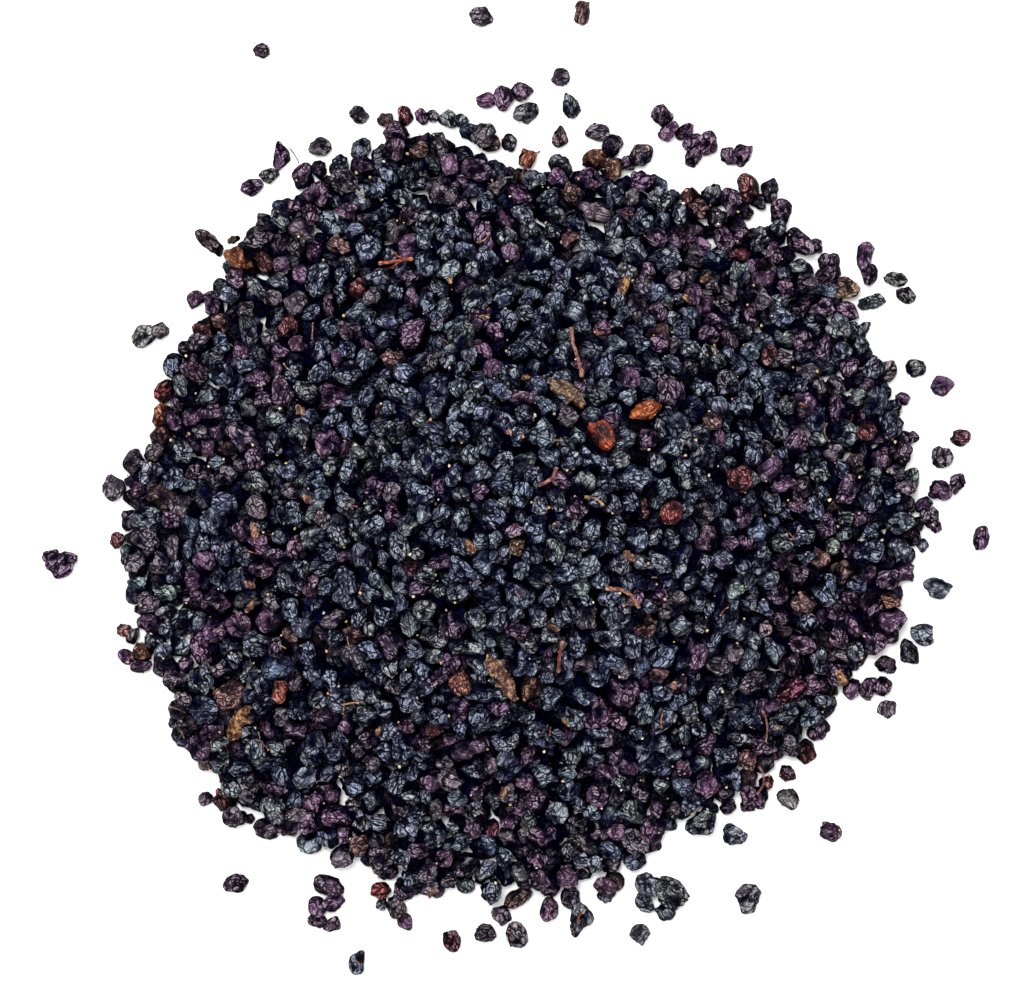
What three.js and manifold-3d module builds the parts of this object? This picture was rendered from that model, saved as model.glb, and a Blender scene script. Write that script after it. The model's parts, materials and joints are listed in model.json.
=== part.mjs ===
// A heap of dried elderberries, poured out on a flat surface.
// Millimetres, +Z up. The origin is on the surface, under the middle of the heap.
//
// The heap is one fused body: a dome whose surface rises into a berry at every crown of a net of
// points, with whole berries sunk into it, evenly on all sides and out along its edge. Berries that
// lie loose by the edge, berries of another colour, stalk scraps and husks are separate pieces, each
// resting where it fell.

import * as THREE from "three";
import { mergeVertices } from "three/addons/utils/BufferGeometryUtils.js";
import Module from "manifold-3d";

const wasm = await Module();
wasm.setup();

// ---------------------------------------------------------------- driving dimensions

const berryWidth = 3.8; // a dried elderberry, across
const berryHeight = 3.3; // its height as it lies
const clearance = 0.3; // between pieces that touch
const pocketGrowth = 1.27; // a berry's pocket is this much larger, which leaves that clearance
const footDepth = 0.2; // how much a lying berry is flattened underneath

const heapHeight = 26.5; // the core at its middle
const toeHeight = 2; // the core at its edge, where the heap is one layer of berries
const coreInset = 1.4; // from the outline in to the core's edge
// The heap's outline: its radius every 15 degrees, counter-clockwise from +X.
const outlineRadii = [
  72, 72, 71, 69.5, 66.5, 65, 63.5, 72.5, 71.5, 72, 69, 69,
  72, 72.5, 71.5, 73.5, 70.5, 69, 68, 67.5, 63, 65.5, 66.5, 71,
];

const berrySpacing = 6.1; // between the berries raised from the dome
const crownRise = 1.3; // their crowns above the dome
const gapDepth = 1.2; // and the gaps round them below it
const netWander = 2.2; // how far the net's rows wander
const wholeBerryCount = 30; // whole berries sunk into the dome
const wholeBerryRise = 1.2; // their centres above it
const wholeBerryMargin = 6; // from the outline in to the outermost of them
const rimSwell = 1.18; // of the berries along the outline, so that touching ones join

// ---------------------------------------------------------------- materials

const finish = (color, roughness) =>
  new THREE.MeshStandardMaterial({ color, roughness, metalness: 0 });
const materials = {
  blueBlack: finish(0x24262e, 0.62),
  purple: finish(0x35222f, 0.6),
  red: finish(0x7a2418, 0.5),
  maroon: finish(0x4e1622, 0.55),
  salmon: finish(0x9a4f42, 0.6),
  orangeBrown: finish(0x96602f, 0.6),
  stalk: finish(0x8a4a3a, 0.75),
  husk: finish(0x9a7a58, 0.85),
};

// ---------------------------------------------------------------- random draws

// A small seeded generator, so that every build gives the same heap.
function generator(seed) {
  let state = seed >>> 0;
  return () => {
    state = (state + 0x6d2b79f5) >>> 0;
    let t = state;
    t = Math.imul(t ^ (t >>> 15), t | 1);
    t ^= t + Math.imul(t ^ (t >>> 7), t | 61);
    return ((t ^ (t >>> 14)) >>> 0) / 4294967296;
  };
}

const between = (random, low, high) => low + (high - low) * random();

// ---------------------------------------------------------------- solids

// A geometry whose faces share their corners.
function joined(geometry) {
  const bare = geometry.clone();
  bare.deleteAttribute("normal");
  bare.deleteAttribute("uv");
  return mergeVertices(bare, 1e-4);
}

// A closed three.js geometry as a solid.
function solidOf(geometry) {
  const merged = joined(geometry);
  return new wasm.Manifold(
    new wasm.Mesh({
      numProp: 3,
      vertProperties: merged.attributes.position.array,
      triVerts: new Uint32Array(merged.index.array),
    }),
  );
}

// A solid as a named mesh.
function meshOf(name, solid, material) {
  const { numProp, numVert, vertProperties, triVerts } = solid.getMesh();
  const places = new Float32Array(numVert * 3);
  for (let i = 0; i < numVert; i++) {
    places.set(vertProperties.subarray(i * numProp, i * numProp + 3), i * 3);
  }
  const geometry = new THREE.BufferGeometry();
  geometry.setAttribute("position", new THREE.BufferAttribute(places, 3));
  geometry.setIndex(new THREE.BufferAttribute(triVerts, 1));
  geometry.computeVertexNormals();
  const mesh = new THREE.Mesh(geometry, material);
  mesh.name = name;
  return mesh;
}

// Everything below the resting surface, wide enough for the whole heap.
const belowSurface = solidOf(new THREE.BoxGeometry(400, 400, 40).translate(0, 0, -20));

// Fuses solids, dropping scraps that hang on by nothing.
function fused(solids) {
  const bodies = wasm.Manifold.union(solids).decompose();
  return bodies.reduce((most, body) => (body.volume() > most.volume() ? body : most));
}

// ---------------------------------------------------------------- the dried berry

const foldCount = 5; // folds in a berry's skin
const foldDepth = 0.1; // of the deepest of them, as a share of the berry's radius
const skinSwell = 1.13; // makes up for what the folds and the flat faces take off its size

// A shrunken berry about the origin: an ellipsoid whose skin has sunk in folds, broad and shallow
// to narrow. detail 0 has 20 faces, detail 1 has 80.
function berryGeometry(random, detail, width, length, height) {
  const folds = Array.from({ length: foldCount }, (_, k) => ({
    along: new THREE.Vector3(random() - 0.5, random() - 0.5, random() - 0.5)
      .normalize()
      .multiplyScalar(2.2 + 1.1 * k),
    phase: between(random, 0, 2 * Math.PI),
    depth: foldDepth / (1 + 0.5 * k),
  }));
  const geometry = new THREE.IcosahedronGeometry(1, detail);
  const place = geometry.attributes.position;
  const point = new THREE.Vector3();
  for (let i = 0; i < place.count; i++) {
    point.fromBufferAttribute(place, i).normalize();
    const shrink = folds.reduce(
      (sum, f) => sum + f.depth * (1 - 2 * Math.abs(Math.sin(point.dot(f.along) + f.phase))),
      skinSwell,
    );
    place.setXYZ(i, point.x * shrink, point.y * shrink, point.z * shrink);
  }
  return geometry.scale(length / 2, width / 2, height / 2);
}

// The same berry, tilted at random and turned by `turn` degrees about its middle at x, y, z.
function placedBerry(random, detail, x, y, z, size, turn, stretch, grow = 1) {
  const width = berryWidth * size * between(random, 0.94, 1.06);
  return berryGeometry(random, detail, width, width * stretch, berryHeight * size)
    .scale(grow, grow, grow)
    .rotateX(between(random, -0.35, 0.35))
    .rotateY(between(random, -0.25, 0.25))
    .rotateZ((turn * Math.PI) / 180)
    .translate(x, y, z);
}

// ---------------------------------------------------------------- the heap

// The outline's radius at an angle in radians, on a closed curve through the given radii.
function outlineAt(angle) {
  const count = outlineRadii.length;
  const turns = ((angle / (2 * Math.PI)) % 1) + 1;
  const step = (turns * count) % count;
  const from = Math.floor(step);
  const t = step - from;
  const radius = (k) => outlineRadii[(from + k + count) % count];
  const [a, b, c, d] = [radius(-1), radius(0), radius(1), radius(2)];
  return b + 0.5 * t * (c - a + t * (2 * a - 5 * b + 4 * c - d + t * (3 * (b - c) + d - a)));
}

// The dome: steepest half way up, at the slope where dried berries stop rolling, with a wide toe.
function domeAt(x, y) {
  const share = Math.min(1, Math.hypot(x, y) / outlineAt(Math.atan2(y, x)));
  return toeHeight + (heapHeight - toeHeight) * Math.cos((share * Math.PI) / 2) ** 2;
}

// The core on a flat base. Its top is a net of triangles in which every third point is the crown of
// a berry and the points round that crown are the gaps between it and the next ones.
function coreSolid(random) {
  const pitch = berrySpacing / Math.sqrt(3);
  const steps = 2 * Math.ceil(125 / pitch);
  const geometry = joined(new THREE.BoxGeometry(steps, steps, 10, steps, steps, 1));
  const place = geometry.attributes.position;
  for (let k = 0; k < place.count; k++) {
    const [i, j, isTop] = [Math.round(place.getX(k)), Math.round(place.getY(k)), place.getZ(k) > 0];
    const rowX = (i - j / 2) * pitch;
    const rowY = ((j * Math.sqrt(3)) / 2) * pitch;
    const x = rowX + netWander * Math.sin(rowY / 8 + 1) + between(random, -0.2, 0.2) * pitch;
    const y = rowY + netWander * Math.sin(rowX / 9 + 2) + between(random, -0.2, 0.2) * pitch;
    const isCrown = (i + j) % 3 === 0;
    const lift = isCrown
      ? crownRise * between(random, 0.6, 1.4)
      : -gapDepth * between(random, 0.6, 1.4);
    place.setXYZ(k, x, y, isTop ? domeAt(x, y) + lift : -5);
  }
  const border = new THREE.Shape(
    Array.from({ length: 90 }, (_, k) => {
      const angle = (k / 90) * 2 * Math.PI;
      const radius = outlineAt(angle) - coreInset;
      return new THREE.Vector2(radius * Math.cos(angle), radius * Math.sin(angle));
    }),
  );
  const walls = new THREE.ExtrudeGeometry(border, { depth: 2 * heapHeight, bevelEnabled: false });
  return solidOf(geometry).intersect(solidOf(walls));
}

// The whole berries over the core, evenly spread on a spiral, each pushed a little out of place.
function topBerries(random) {
  const goldenAngle = Math.PI * (3 - Math.sqrt(5));
  return Array.from({ length: wholeBerryCount }, (_, k) => {
    const angle = k * goldenAngle;
    const radius = Math.sqrt((k + 0.5) / wholeBerryCount) * (outlineAt(angle) - wholeBerryMargin);
    const x = radius * Math.cos(angle) + between(random, -2, 2);
    const y = radius * Math.sin(angle) + between(random, -2, 2);
    return { x, y, z: domeAt(x, y) + wholeBerryRise };
  });
}

// The berries that make up the outline, one layer deep, counter-clockwise from +X, each as
// [x, y, turn in degrees, size, stretch].
const rimBerries = [
  [72.5, 2, 10, 0.71, 1.6], [72.9, 4.5, 80, 0.71, 1.27], [70.6, 6.3, 90, 0.76, 1.12],
  [72.2, 10.8, 60, 0.9, 1.16], [70, 13.3, 0, 0.85, 1.11], [68.8, 20.1, 90, 0.62, 1.85],
  [68.9, 23.6, 20, 0.76, 1.25], [69.3, 27, 60, 0.66, 1.29], [66, 26.1, 0, 0.85, 1.11],
  [61.4, 33.7, 20, 0.71, 1.2], [58.7, 36.5, -30, 0.85, 1.33], [59.2, 40.9, 0, 1.04, 1.18],
  [55.3, 41.9, 0, 0.85, 1.22], [55.5, 44.9, 0, 0.95, 1.5], [52.6, 48, 20, 0.76, 1.38],
  [49.8, 49.2, 80, 0.71, 1.4], [45.5, 50.8, 80, 1, 1.1], [47.2, 54.4, -45, 0.95, 1.3],
  [44.8, 58.5, 0, 0.85, 1.22], [42.7, 56.9, 90, 0.76, 1.38], [40, 54.5, 90, 0.9, 1.16],
  [40.9, 59, 60, 0.76, 1.62], [38, 56.2, 0, 0.81, 1.18], [34.4, 56.9, 60, 1.14, 1.12],
  [30.8, 57.2, 0, 0.66, 1.29], [25.2, 59.6, 90, 0.71, 1.33], [22.3, 60.6, 0, 0.71, 1.2],
  [21.8, 64.4, 0, 1.04, 1.14], [16.2, 62.4, 0, 0.9, 1.2], [19.1, 63.5, 0, 0.76, 1.25], [17.1, 66.2, 5, 0.76, 1.56],
  [13.1, 63.7, 50, 0.95, 1.2], [7.6, 62.8, 0, 1.04, 1.14], [1, 64.2, 90, 0.81, 1.24],
  [-1.8, 67, 90, 0.76, 1.25], [-5.6, 67.3, -15, 1.04, 1.36], [-8.6, 68.9, -30, 0.9, 1.26],
  [-11, 70.9, -40, 0.71, 1.33], [-13, 71.8, 100, 0.76, 1.56], [-16.9, 71.6, 0, 0.76, 1.75],
  [-20.9, 71.8, 60, 0.85, 1.17], [-22.5, 67.7, 80, 1.14, 1.25], [-24.7, 71.3, 0, 0.76, 1.38],
  [-26.3, 68, 80, 0.81, 1.53], [-32.4, 62.8, 0, 0.85, 1.33], [-36, 62.1, 0, 0.71, 1.47],
  [-38.9, 60.6, 110, 0.85, 1.44], [-42.7, 55.6, -50, 0.85, 1.33], [-44.6, 58, -20, 1.04, 1.18],
  [-46.3, 52.6, 0, 0.9, 1.11], [-54.4, 47.5, 60, 0.57, 1.5], [-53.3, 44.5, -50, 0.85, 1.22],
  [-58.1, 38.7, 20, 0.9, 1.26], [-59.6, 30.2, -20, 0.85, 1.22], [-62.5, 26.8, 80, 0.85, 1.22],
  [-64.4, 22.3, 0, 0.9, 1.16], [-64.8, 18.4, 60, 0.81, 1.29], [-69.3, 9.7, 20, 1.04, 1.09],
  [-69.1, 6.1, 0, 0.71, 1.33], [-69.3, 2.9, 0, 0.81, 1.18], [-70.2, -0.9, 20, 0.85, 1.22],
  [-72.2, -4.1, 60, 0.71, 1.47], [-70.7, -7.4, -20, 0.76, 1.31], [-68.9, -14.2, 0, 0.85, 1.22],
  [-70.4, -21.2, -35, 0.76, 1.69], [-67.9, -23.9, -20, 0.76, 1.38], [-70.8, -25.2, 60, 0.66, 1.29],
  [-67.6, -26.6, 10, 0.81, 1.29], [-64.4, -26.8, 100, 0.66, 1.71], [-60.7, -34.4, 60, 0.85, 1.44],
  [-61.7, -36.7, 0, 0.71, 1.2], [-59.9, -39.2, 0, 1.14, 1.17], [-58.1, -42.1, -30, 0.66, 1.29],
  [-56.2, -44.5, -50, 0.85, 1.33], [-56.2, -50.9, 30, 0.66, 1.21], [-52.5, -51, -30, 1.14, 1.25],
  [-50.8, -54.7, 0, 0.85, 1.56], [-45.1, -56.6, 0, 1.14, 1.12], [-41.8, -56, 0, 0.76, 1.12],
  [-37.4, -58.7, 0, 1, 1.24], [-31.9, -61.6, -45, 0.71, 1.73], [-25.2, -67.5, 20, 0.81, 1.35],
  [-23.4, -63.9, 5, 0.76, 1.69], [-24.5, -69.5, 80, 0.66, 1.29], [-22, -70.2, 60, 0.76, 1.5],
  [-20.3, -67, 0, 1.14, 1.17], [-18.4, -65, 0, 0.9, 1.2], [-20.5, -72.7, 80, 0.76, 1.25], [-15.5, -67.3, 0, 0.85, 1.22],
  [-13.3, -66.4, 90, 0.57, 1.67], [-10.1, -66.1, -40, 0.85, 1.33], [-5.4, -67.4, 80, 0.85, 1.22],
  [2, -65.7, 90, 0.66, 1.29], [4.9, -66.8, -30, 0.76, 1.38], [7.7, -67.3, 0, 0.85, 1.11],
  [9.9, -74.5, -20, 0.66, 1.43], [9.5, -68.8, 0, 0.85, 1.22], [11.2, -71.8, 0, 1.23, 1.15],
  [15.3, -67.7, 100, 0.81, 1.59], [17.3, -65.7, -45, 0.76, 1.56], [20.5, -62.1, 0, 0.95, 1.3],
  [23.4, -63.2, 40, 0.76, 1.25], [24, -60.2, 80, 0.66, 1.71], [32.4, -55.1, -50, 0.76, 1.5],
  [34, -52.9, 90, 0.57, 1.42], [37.2, -51.6, 90, 0.81, 1.47], [42.1, -51.2, 10, 0.9, 1.68],
  [40.5, -48.2, 0, 1.04, 1.27], [44.1, -48.4, 30, 0.57, 1.58], [43.7, -45.5, 80, 0.66, 1.43],
  [48.6, -41, 0, 0.95, 1.3], [51.1, -42.7, 80, 0.85, 1.11], [53.5, -37.3, 60, 1.14, 1.42],
  [55.4, -34.7, 80, 0.52, 2], [57.4, -31.3, 90, 0.57, 1.25], [64.8, -23, 0, 0.66, 1.43],
  [66.1, -21.4, -20, 0.76, 1.5], [67.7, -18.7, 0, 0.66, 1.57], [69.1, -10.6, 10, 0.71, 1.47],
  [69.5, -7.9, 90, 0.76, 1.44], [71.1, -4.5, -45, 0.85, 1.56], [71.6, -1.4, 60, 0.66, 1.43],
  [74.2, -1.1, -50, 0.76, 1.5],
];

// ---------------------------------------------------------------- loose berries by the heap

// Each row is a piece: its berries as [x, y, turn in degrees, size, stretch], touching ones together.
const looseBerries = [
  { berries: [[-43, 64.5, 85, 0.82, 1.5]], colour: "purple" },
  { berries: [[-45.2, 61, 5, 0.7, 1.5]], colour: "blueBlack" },
  { berries: [[-48.2, 58.8, 30, 0.72, 1.2]], colour: "purple" },
  { berries: [[-36, 66.2, 70, 0.98, 1.0]], colour: "blueBlack" },
  { berries: [[-28.7, 65.9, 75, 0.8, 1.3]], colour: "blueBlack" },
  { berries: [[-28.8, 72.2, 20, 0.86, 1.15]], colour: "blueBlack" },
  { berries: [[-56.4, 49.4, 125, 0.72, 1.55], [-54.2, 48, 90, 0.62, 1.3]], colour: "maroon" },
  { berries: [[-67.3, 32, 0, 1.02, 1.05], [-64.6, 33.4, 60, 0.84, 1.1]], colour: "blueBlack" },
  { berries: [[-73.4, 5, 30, 1.08, 1.1]], colour: "blueBlack" },
  {
    berries: [
      [-35.2, -66.5, 60, 0.95, 1.1],
      [-33.8, -66.8, 80, 0.98, 1.15],
      [-33.6, -69.4, 70, 0.98, 1.1],
      [-36.4, -70.4, 100, 0.9, 1.2],
      [-36.5, -72.9, 80, 0.8, 1.1],
      [-33.8, -73.6, 50, 0.84, 1.1],
    ],
    colour: "purple",
  },
  { berries: [[-12.6, -76.5, 100, 0.9, 1.25]], colour: "maroon" },
  { berries: [[-6.3, -75.1, 160, 0.82, 1.3]], colour: "blueBlack" },
  { berries: [[-3.2, -71.7, 80, 0.9, 1.2]], colour: "blueBlack" },
  { berries: [[-0.7, -76, 95, 0.86, 1.4]], colour: "blueBlack" },
  { berries: [[5.1, -70.9, 90, 0.95, 1.25]], colour: "purple" },
  { berries: [[21.6, -75.4, 60, 0.95, 1.1]], colour: "blueBlack" },
  {
    berries: [
      [23.4, -66.6, 120, 1.0, 1.2],
      [26.5, -67.6, 70, 1.15, 1.15],
      [25.9, -70.9, 100, 0.84, 1.4],
      [22.4, -69.4, 110, 0.85, 1.2],
      [28.6, -69.2, 120, 0.72, 1.3],
    ],
    colour: "blueBlack",
  },
  { berries: [[38.3, -57.6, 80, 1.1, 1.05]], colour: "blueBlack" },
  { berries: [[48.1, -46.4, 140, 0.82, 1.1]], colour: "maroon" },
  { berries: [[47.9, -50.9, 110, 0.84, 1.3]], colour: "blueBlack" },
  { berries: [[66.1, -35.1, 95, 0.84, 1.2]], colour: "blueBlack" },
  {
    berries: [[65.1, -30.8, 60, 0.92, 1.15], [62.6, -31, 95, 0.9, 1.25], [60, -31.2, 20, 0.86, 1.2]],
    colour: "purple",
  },
  { berries: [[65.9, -27, 160, 0.76, 1.3]], colour: "purple" },
  { berries: [[69.7, -24.8, 120, 0.9, 1.35]], colour: "blueBlack" },
  { berries: [[72.6, -21.1, 20, 1.0, 1.1]], colour: "blueBlack" },
  { berries: [[75.1, -13.1, 170, 0.95, 1.4]], colour: "blueBlack" },
  { berries: [[75.6, 10.2, 45, 0.95, 1.15]], colour: "blueBlack" },
  { berries: [[78.4, 5.7, 40, 0.86, 1.1], [75.3, 4.6, 10, 0.95, 1.1]], colour: "purple" },
  { berries: [[79.4, 13.9, 5, 0.78, 1.5]], colour: "maroon" },
  { berries: [[75.5, 23.1, 0, 1.0, 1.3]], colour: "purple" },
  { berries: [[71, 26.6, 30, 0.95, 1.15]], colour: "blueBlack" },
  { berries: [[67.8, 42.2, 170, 0.72, 1.7], [69.4, 39.7, 140, 0.7, 1.4]], colour: "blueBlack" },
  { berries: [[63.2, 38.3, 15, 0.82, 1.4]], colour: "blueBlack" },
  { berries: [[61.8, 46.4, 70, 0.88, 1.3], [62.7, 43.5, 100, 0.92, 1.3]], colour: "purple" },
  {
    berries: [
      [25.4, 71.6, 80, 0.9, 1.2],
      [26.8, 68.9, 40, 0.92, 1.2],
      [29.6, 68.8, 30, 0.8, 1.2],
      [31.1, 67.4, 20, 0.85, 1.2],
      [33.6, 66.8, 70, 0.95, 1.2],
      [31, 64.7, 80, 0.88, 1.2],
    ],
    colour: "purple",
  },
  { berries: [[37.5, 64.4, 160, 0.92, 1.25], [40.1, 64.8, 75, 0.76, 1.4]], colour: "purple" },
  { berries: [[13.9, 68.9, 0, 0.84, 1.45]], colour: "blueBlack" },
  { berries: [[9.1, 73.5, 105, 0.9, 1.25]], colour: "blueBlack" },
  { berries: [[7.4, 78.7, 60, 0.88, 1.1]], colour: "blueBlack" },
  { berries: [[7, 68, 65, 0.8, 1.25]], colour: "maroon" },
  {
    berries: [[-6, 74.6, 10, 0.78, 1.3], [-2.8, 74.9, 80, 0.95, 1.3], [0.3, 76.2, 70, 0.84, 1.1]],
    colour: "purple",
  },
  { berries: [[0.9, 72.1, 25, 0.85, 1.35]], colour: "blueBlack" },
  {
    berries: [[-84, -7.2, 0, 0.72, 1.4], [-83.2, -9.6, -10, 0.86, 1.15], [-81.4, -8.4, -40, 0.62, 1.6]],
    colour: "purple",
  },
  { berries: [[-6.8, 89.8, 0, 0.82, 1.35]], colour: "blueBlack" },
];

// The berries of one piece as they lie, `grow` times their size.
function looseSolid(seed, berries, grow) {
  const random = generator(seed);
  const geometries = berries.map(([x, y, turn, size, stretch]) =>
    placedBerry(random, 0, x, y, (berryHeight * size) / 2, size, turn, stretch, grow),
  );
  return fused(geometries.map(solidOf));
}

// ---------------------------------------------------------------- coloured berries on the heap

const colouredRise = 1.6; // their centres above the dome
// Unripe and bleached berries: [name, x, y, turn in degrees, size, stretch, colour].
const colouredBerries = [
  ["red_berry_1", 14.2, 14.2, 130, 1.0, 1.15, "red"],
  ["red_berry_2", -43, -31.4, 90, 0.85, 1.1, "salmon"],
  ["red_berry_3", -10.6, -30, 60, 1.0, 1.05, "salmon"],
  ["orange_berry_1", 21.6, 18.4, 25, 0.75, 1.8, "orangeBrown"],
  ["orange_berry_2", -50.4, 46.2, 140, 1.0, 1.15, "orangeBrown"],
  ["maroon_berry_1", 26.6, 0.4, 70, 0.85, 1.25, "maroon"],
  ["maroon_berry_2", 38.8, 6.6, 110, 0.95, 1.25, "maroon"],
];

// ---------------------------------------------------------------- stalk scraps and husks

const stalkWidth = 0.64;
const stalkSides = 6;
// Each stalk is a curve through [x, y, height above the dome].
const stalks = {
  stalk_1: [[9, 33.2, 1.6], [9.3, 30.5, 2], [10.2, 27.5, 1.9], [10.9, 24.4, 1.5]],
  stalk_2: [[-25.2, 44.9, 1.7], [-22.5, 45.2, 1.8], [-19.2, 45.7, 1.7]],
  stalk_3: [[15, -12.8, 1.8], [17.6, -13, 2.2], [19.6, -14.2, 2.1], [20.9, -16.2, 1.6]],
  stalk_4: [[7.4, -22.2, 1.7], [6.9, -24.6, 1.9], [6.7, -27.6, 1.7]],
  stalk_5: [[3.2, 5.2, 1.7], [5.4, 6.4, 2], [6.3, 8.4, 1.6]],
};

// A round stalk along its curve, grown by `room` on every side and at both ends.
function stalkSolid(points, room) {
  const knots = points.map(([x, y, above]) => new THREE.Vector3(x, y, domeAt(x, y) + above));
  const [first, second] = knots;
  const [beforeLast, last] = knots.slice(-2);
  const ahead = first.clone().sub(second).setLength(room);
  const behind = last.clone().sub(beforeLast).setLength(room);
  first.add(ahead);
  last.add(behind);
  const radius = stalkWidth / 2 + 1.2 * room;
  const section = new THREE.Shape(
    Array.from({ length: stalkSides }, (_, k) => {
      const angle = (k / stalkSides) * 2 * Math.PI;
      return new THREE.Vector2(radius * Math.cos(angle), radius * Math.sin(angle));
    }),
  );
  const extrudePath = new THREE.CatmullRomCurve3(knots);
  return solidOf(
    new THREE.ExtrudeGeometry(section, { steps: 6, extrudePath, bevelEnabled: false }),
  );
}

const huskThickness = 0.7;
const huskCurl = 0.8; // how far a husk's sides bend down
const huskBend = 0.5; // and its ends
const huskRise = 1.7; // its middle above the dome
// Dry husks and bracts: [name, x, y, turn in degrees, length, width].
const husks = [
  ["bract_1", -3.4, -28.6, -58, 9.4, 3.4],
  ["husk_1", 8.2, 21.6, -35, 7.2, 3.6],
  ["husk_2", -50.4, -37.4, 62, 6.6, 3.6],
];

// A leaf-shaped flake bent over the dome, grown by `room` on every side.
function huskSolid(x, y, turn, length, width, room) {
  const geometry = joined(new THREE.BoxGeometry(1, 1, 1, 6, 2, 1));
  const place = geometry.attributes.position;
  const angle = (turn * Math.PI) / 180;
  const base = domeAt(x, y) + huskRise;
  const slopeX = (domeAt(x + 1, y) - domeAt(x - 1, y)) / 2;
  const slopeY = (domeAt(x, y + 1) - domeAt(x, y - 1)) / 2;
  for (let i = 0; i < place.count; i++) {
    const [u, v, w] = [place.getX(i), place.getY(i), place.getZ(i)];
    const along = u * (length + 2 * room);
    const across = v * (1 - 2.6 * u * u) * (width + 3 * room);
    const dx = along * Math.cos(angle) - across * Math.sin(angle);
    const dy = along * Math.sin(angle) + across * Math.cos(angle);
    const bent = -4 * (huskCurl * v * v + huskBend * u * u);
    const lift = w * (huskThickness + 3 * room);
    place.setXYZ(i, x + dx, y + dy, base + slopeX * dx + slopeY * dy + bent + lift);
  }
  return solidOf(geometry);
}

// ---------------------------------------------------------------- assembly

const group = new THREE.Group();
group.name = "elderberry_heap";

// Pieces that lie in the heap are cut out of it first, with room round each.
const pockets = [];

colouredBerries.forEach(([name, x, y, turn, size, stretch, colour], k) => {
  const z = domeAt(x, y) + colouredRise;
  const lying = (grow) =>
    solidOf(placedBerry(generator(300 + k), 1, x, y, z, size, turn, stretch, grow));
  group.add(meshOf(name, lying(1), materials[colour]));
  pockets.push(lying(pocketGrowth));
});

for (const [name, points] of Object.entries(stalks)) {
  group.add(meshOf(name, stalkSolid(points, 0), materials.stalk));
  pockets.push(stalkSolid(points, clearance));
}

for (const [name, ...shape] of husks) {
  group.add(meshOf(name, huskSolid(...shape, 0), materials.husk));
  pockets.push(huskSolid(...shape, clearance));
}

looseBerries.forEach(({ berries, colour }, k) => {
  const kind = berries.length > 1 ? "loose_clump_" : "loose_berry_";
  const name = kind + String(k + 1).padStart(2, "0");
  const piece = looseSolid(100 + k, berries, 1);
  const drop = -piece.boundingBox().min[2] - footDepth;
  const lying = fused([piece.translate(0, 0, drop).subtract(belowSurface)]);
  group.add(meshOf(name, lying, materials[colour]));
  pockets.push(looseSolid(100 + k, berries, pocketGrowth).translate(0, 0, drop));
});

// The heap leaves out any whole berry of its own that would lie mostly in a pocket.
const taken = [
  ...looseBerries.flatMap(({ berries }) => berries.map(([x, y]) => [x, y])),
  ...colouredBerries.map(([, x, y]) => [x, y]),
];
const isFree = ({ x, y }) => taken.every(([px, py]) => Math.hypot(px - x, py - y) > berryWidth);

const random = generator(7);
const core = coreSolid(random);
const rim = rimBerries.map(([x, y, turn, width, stretch]) => {
  const size = width * rimSwell;
  return { x, y, z: (berryHeight * size) / 2 - footDepth, turn, size, stretch };
});
const top = topBerries(random).map((berry) => ({
  ...berry,
  turn: between(random, 0, 180),
  size: between(random, 0.94, 1.16),
  stretch: between(random, 1, 1.25),
}));
const sunk = [...rim, ...top]
  .filter(isFree)
  .map(({ x, y, z, turn, size, stretch }, k) =>
    solidOf(placedBerry(generator(500 + k), 0, x, y, z, size, turn, stretch)),
  );
const cutAway = wasm.Manifold.union([belowSurface, ...pockets]);
const heap = wasm.Manifold.union([core, ...sunk]).subtract(cutAway);
group.add(meshOf("berry_heap", fused([heap]), materials.blueBlack));

export default group;
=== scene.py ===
"""Looks for a heap of dried elderberries on a white surface.

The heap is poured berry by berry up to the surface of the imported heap. Lengths here are in
millimetres and become metres when a mesh is made."""

import json
import math
from collections import namedtuple

import bmesh
import bpy
import numpy as np
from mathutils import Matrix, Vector, noise
from mathutils.bvhtree import BVHTree
from mathutils.kdtree import KDTree


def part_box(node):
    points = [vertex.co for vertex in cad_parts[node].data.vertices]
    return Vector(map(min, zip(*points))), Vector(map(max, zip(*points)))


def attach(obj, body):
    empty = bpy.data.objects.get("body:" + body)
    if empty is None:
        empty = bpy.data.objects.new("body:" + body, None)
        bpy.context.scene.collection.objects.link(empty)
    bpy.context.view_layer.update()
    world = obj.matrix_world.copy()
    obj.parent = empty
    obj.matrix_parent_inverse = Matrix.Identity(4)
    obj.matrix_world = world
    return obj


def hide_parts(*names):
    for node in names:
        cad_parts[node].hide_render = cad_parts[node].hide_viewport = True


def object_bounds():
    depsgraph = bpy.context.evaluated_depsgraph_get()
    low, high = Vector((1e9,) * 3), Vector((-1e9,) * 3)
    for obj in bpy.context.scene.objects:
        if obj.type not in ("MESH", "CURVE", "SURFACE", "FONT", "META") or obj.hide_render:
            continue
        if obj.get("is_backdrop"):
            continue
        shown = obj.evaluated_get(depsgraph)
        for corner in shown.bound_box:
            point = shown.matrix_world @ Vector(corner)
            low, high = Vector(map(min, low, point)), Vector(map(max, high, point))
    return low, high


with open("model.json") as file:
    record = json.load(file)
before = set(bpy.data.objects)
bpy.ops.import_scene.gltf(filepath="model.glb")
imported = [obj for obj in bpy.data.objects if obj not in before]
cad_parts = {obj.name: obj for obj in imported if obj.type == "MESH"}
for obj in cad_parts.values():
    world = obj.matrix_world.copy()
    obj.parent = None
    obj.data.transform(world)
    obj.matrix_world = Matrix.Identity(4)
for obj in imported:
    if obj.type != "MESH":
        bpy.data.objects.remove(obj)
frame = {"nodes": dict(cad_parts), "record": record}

CAD_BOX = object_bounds()
MM = 0.001
SEED = 20
rng = np.random.default_rng(SEED)
noise.seed_set(SEED)  # the clock would seed it otherwise

# -------- driving dimensions

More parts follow.
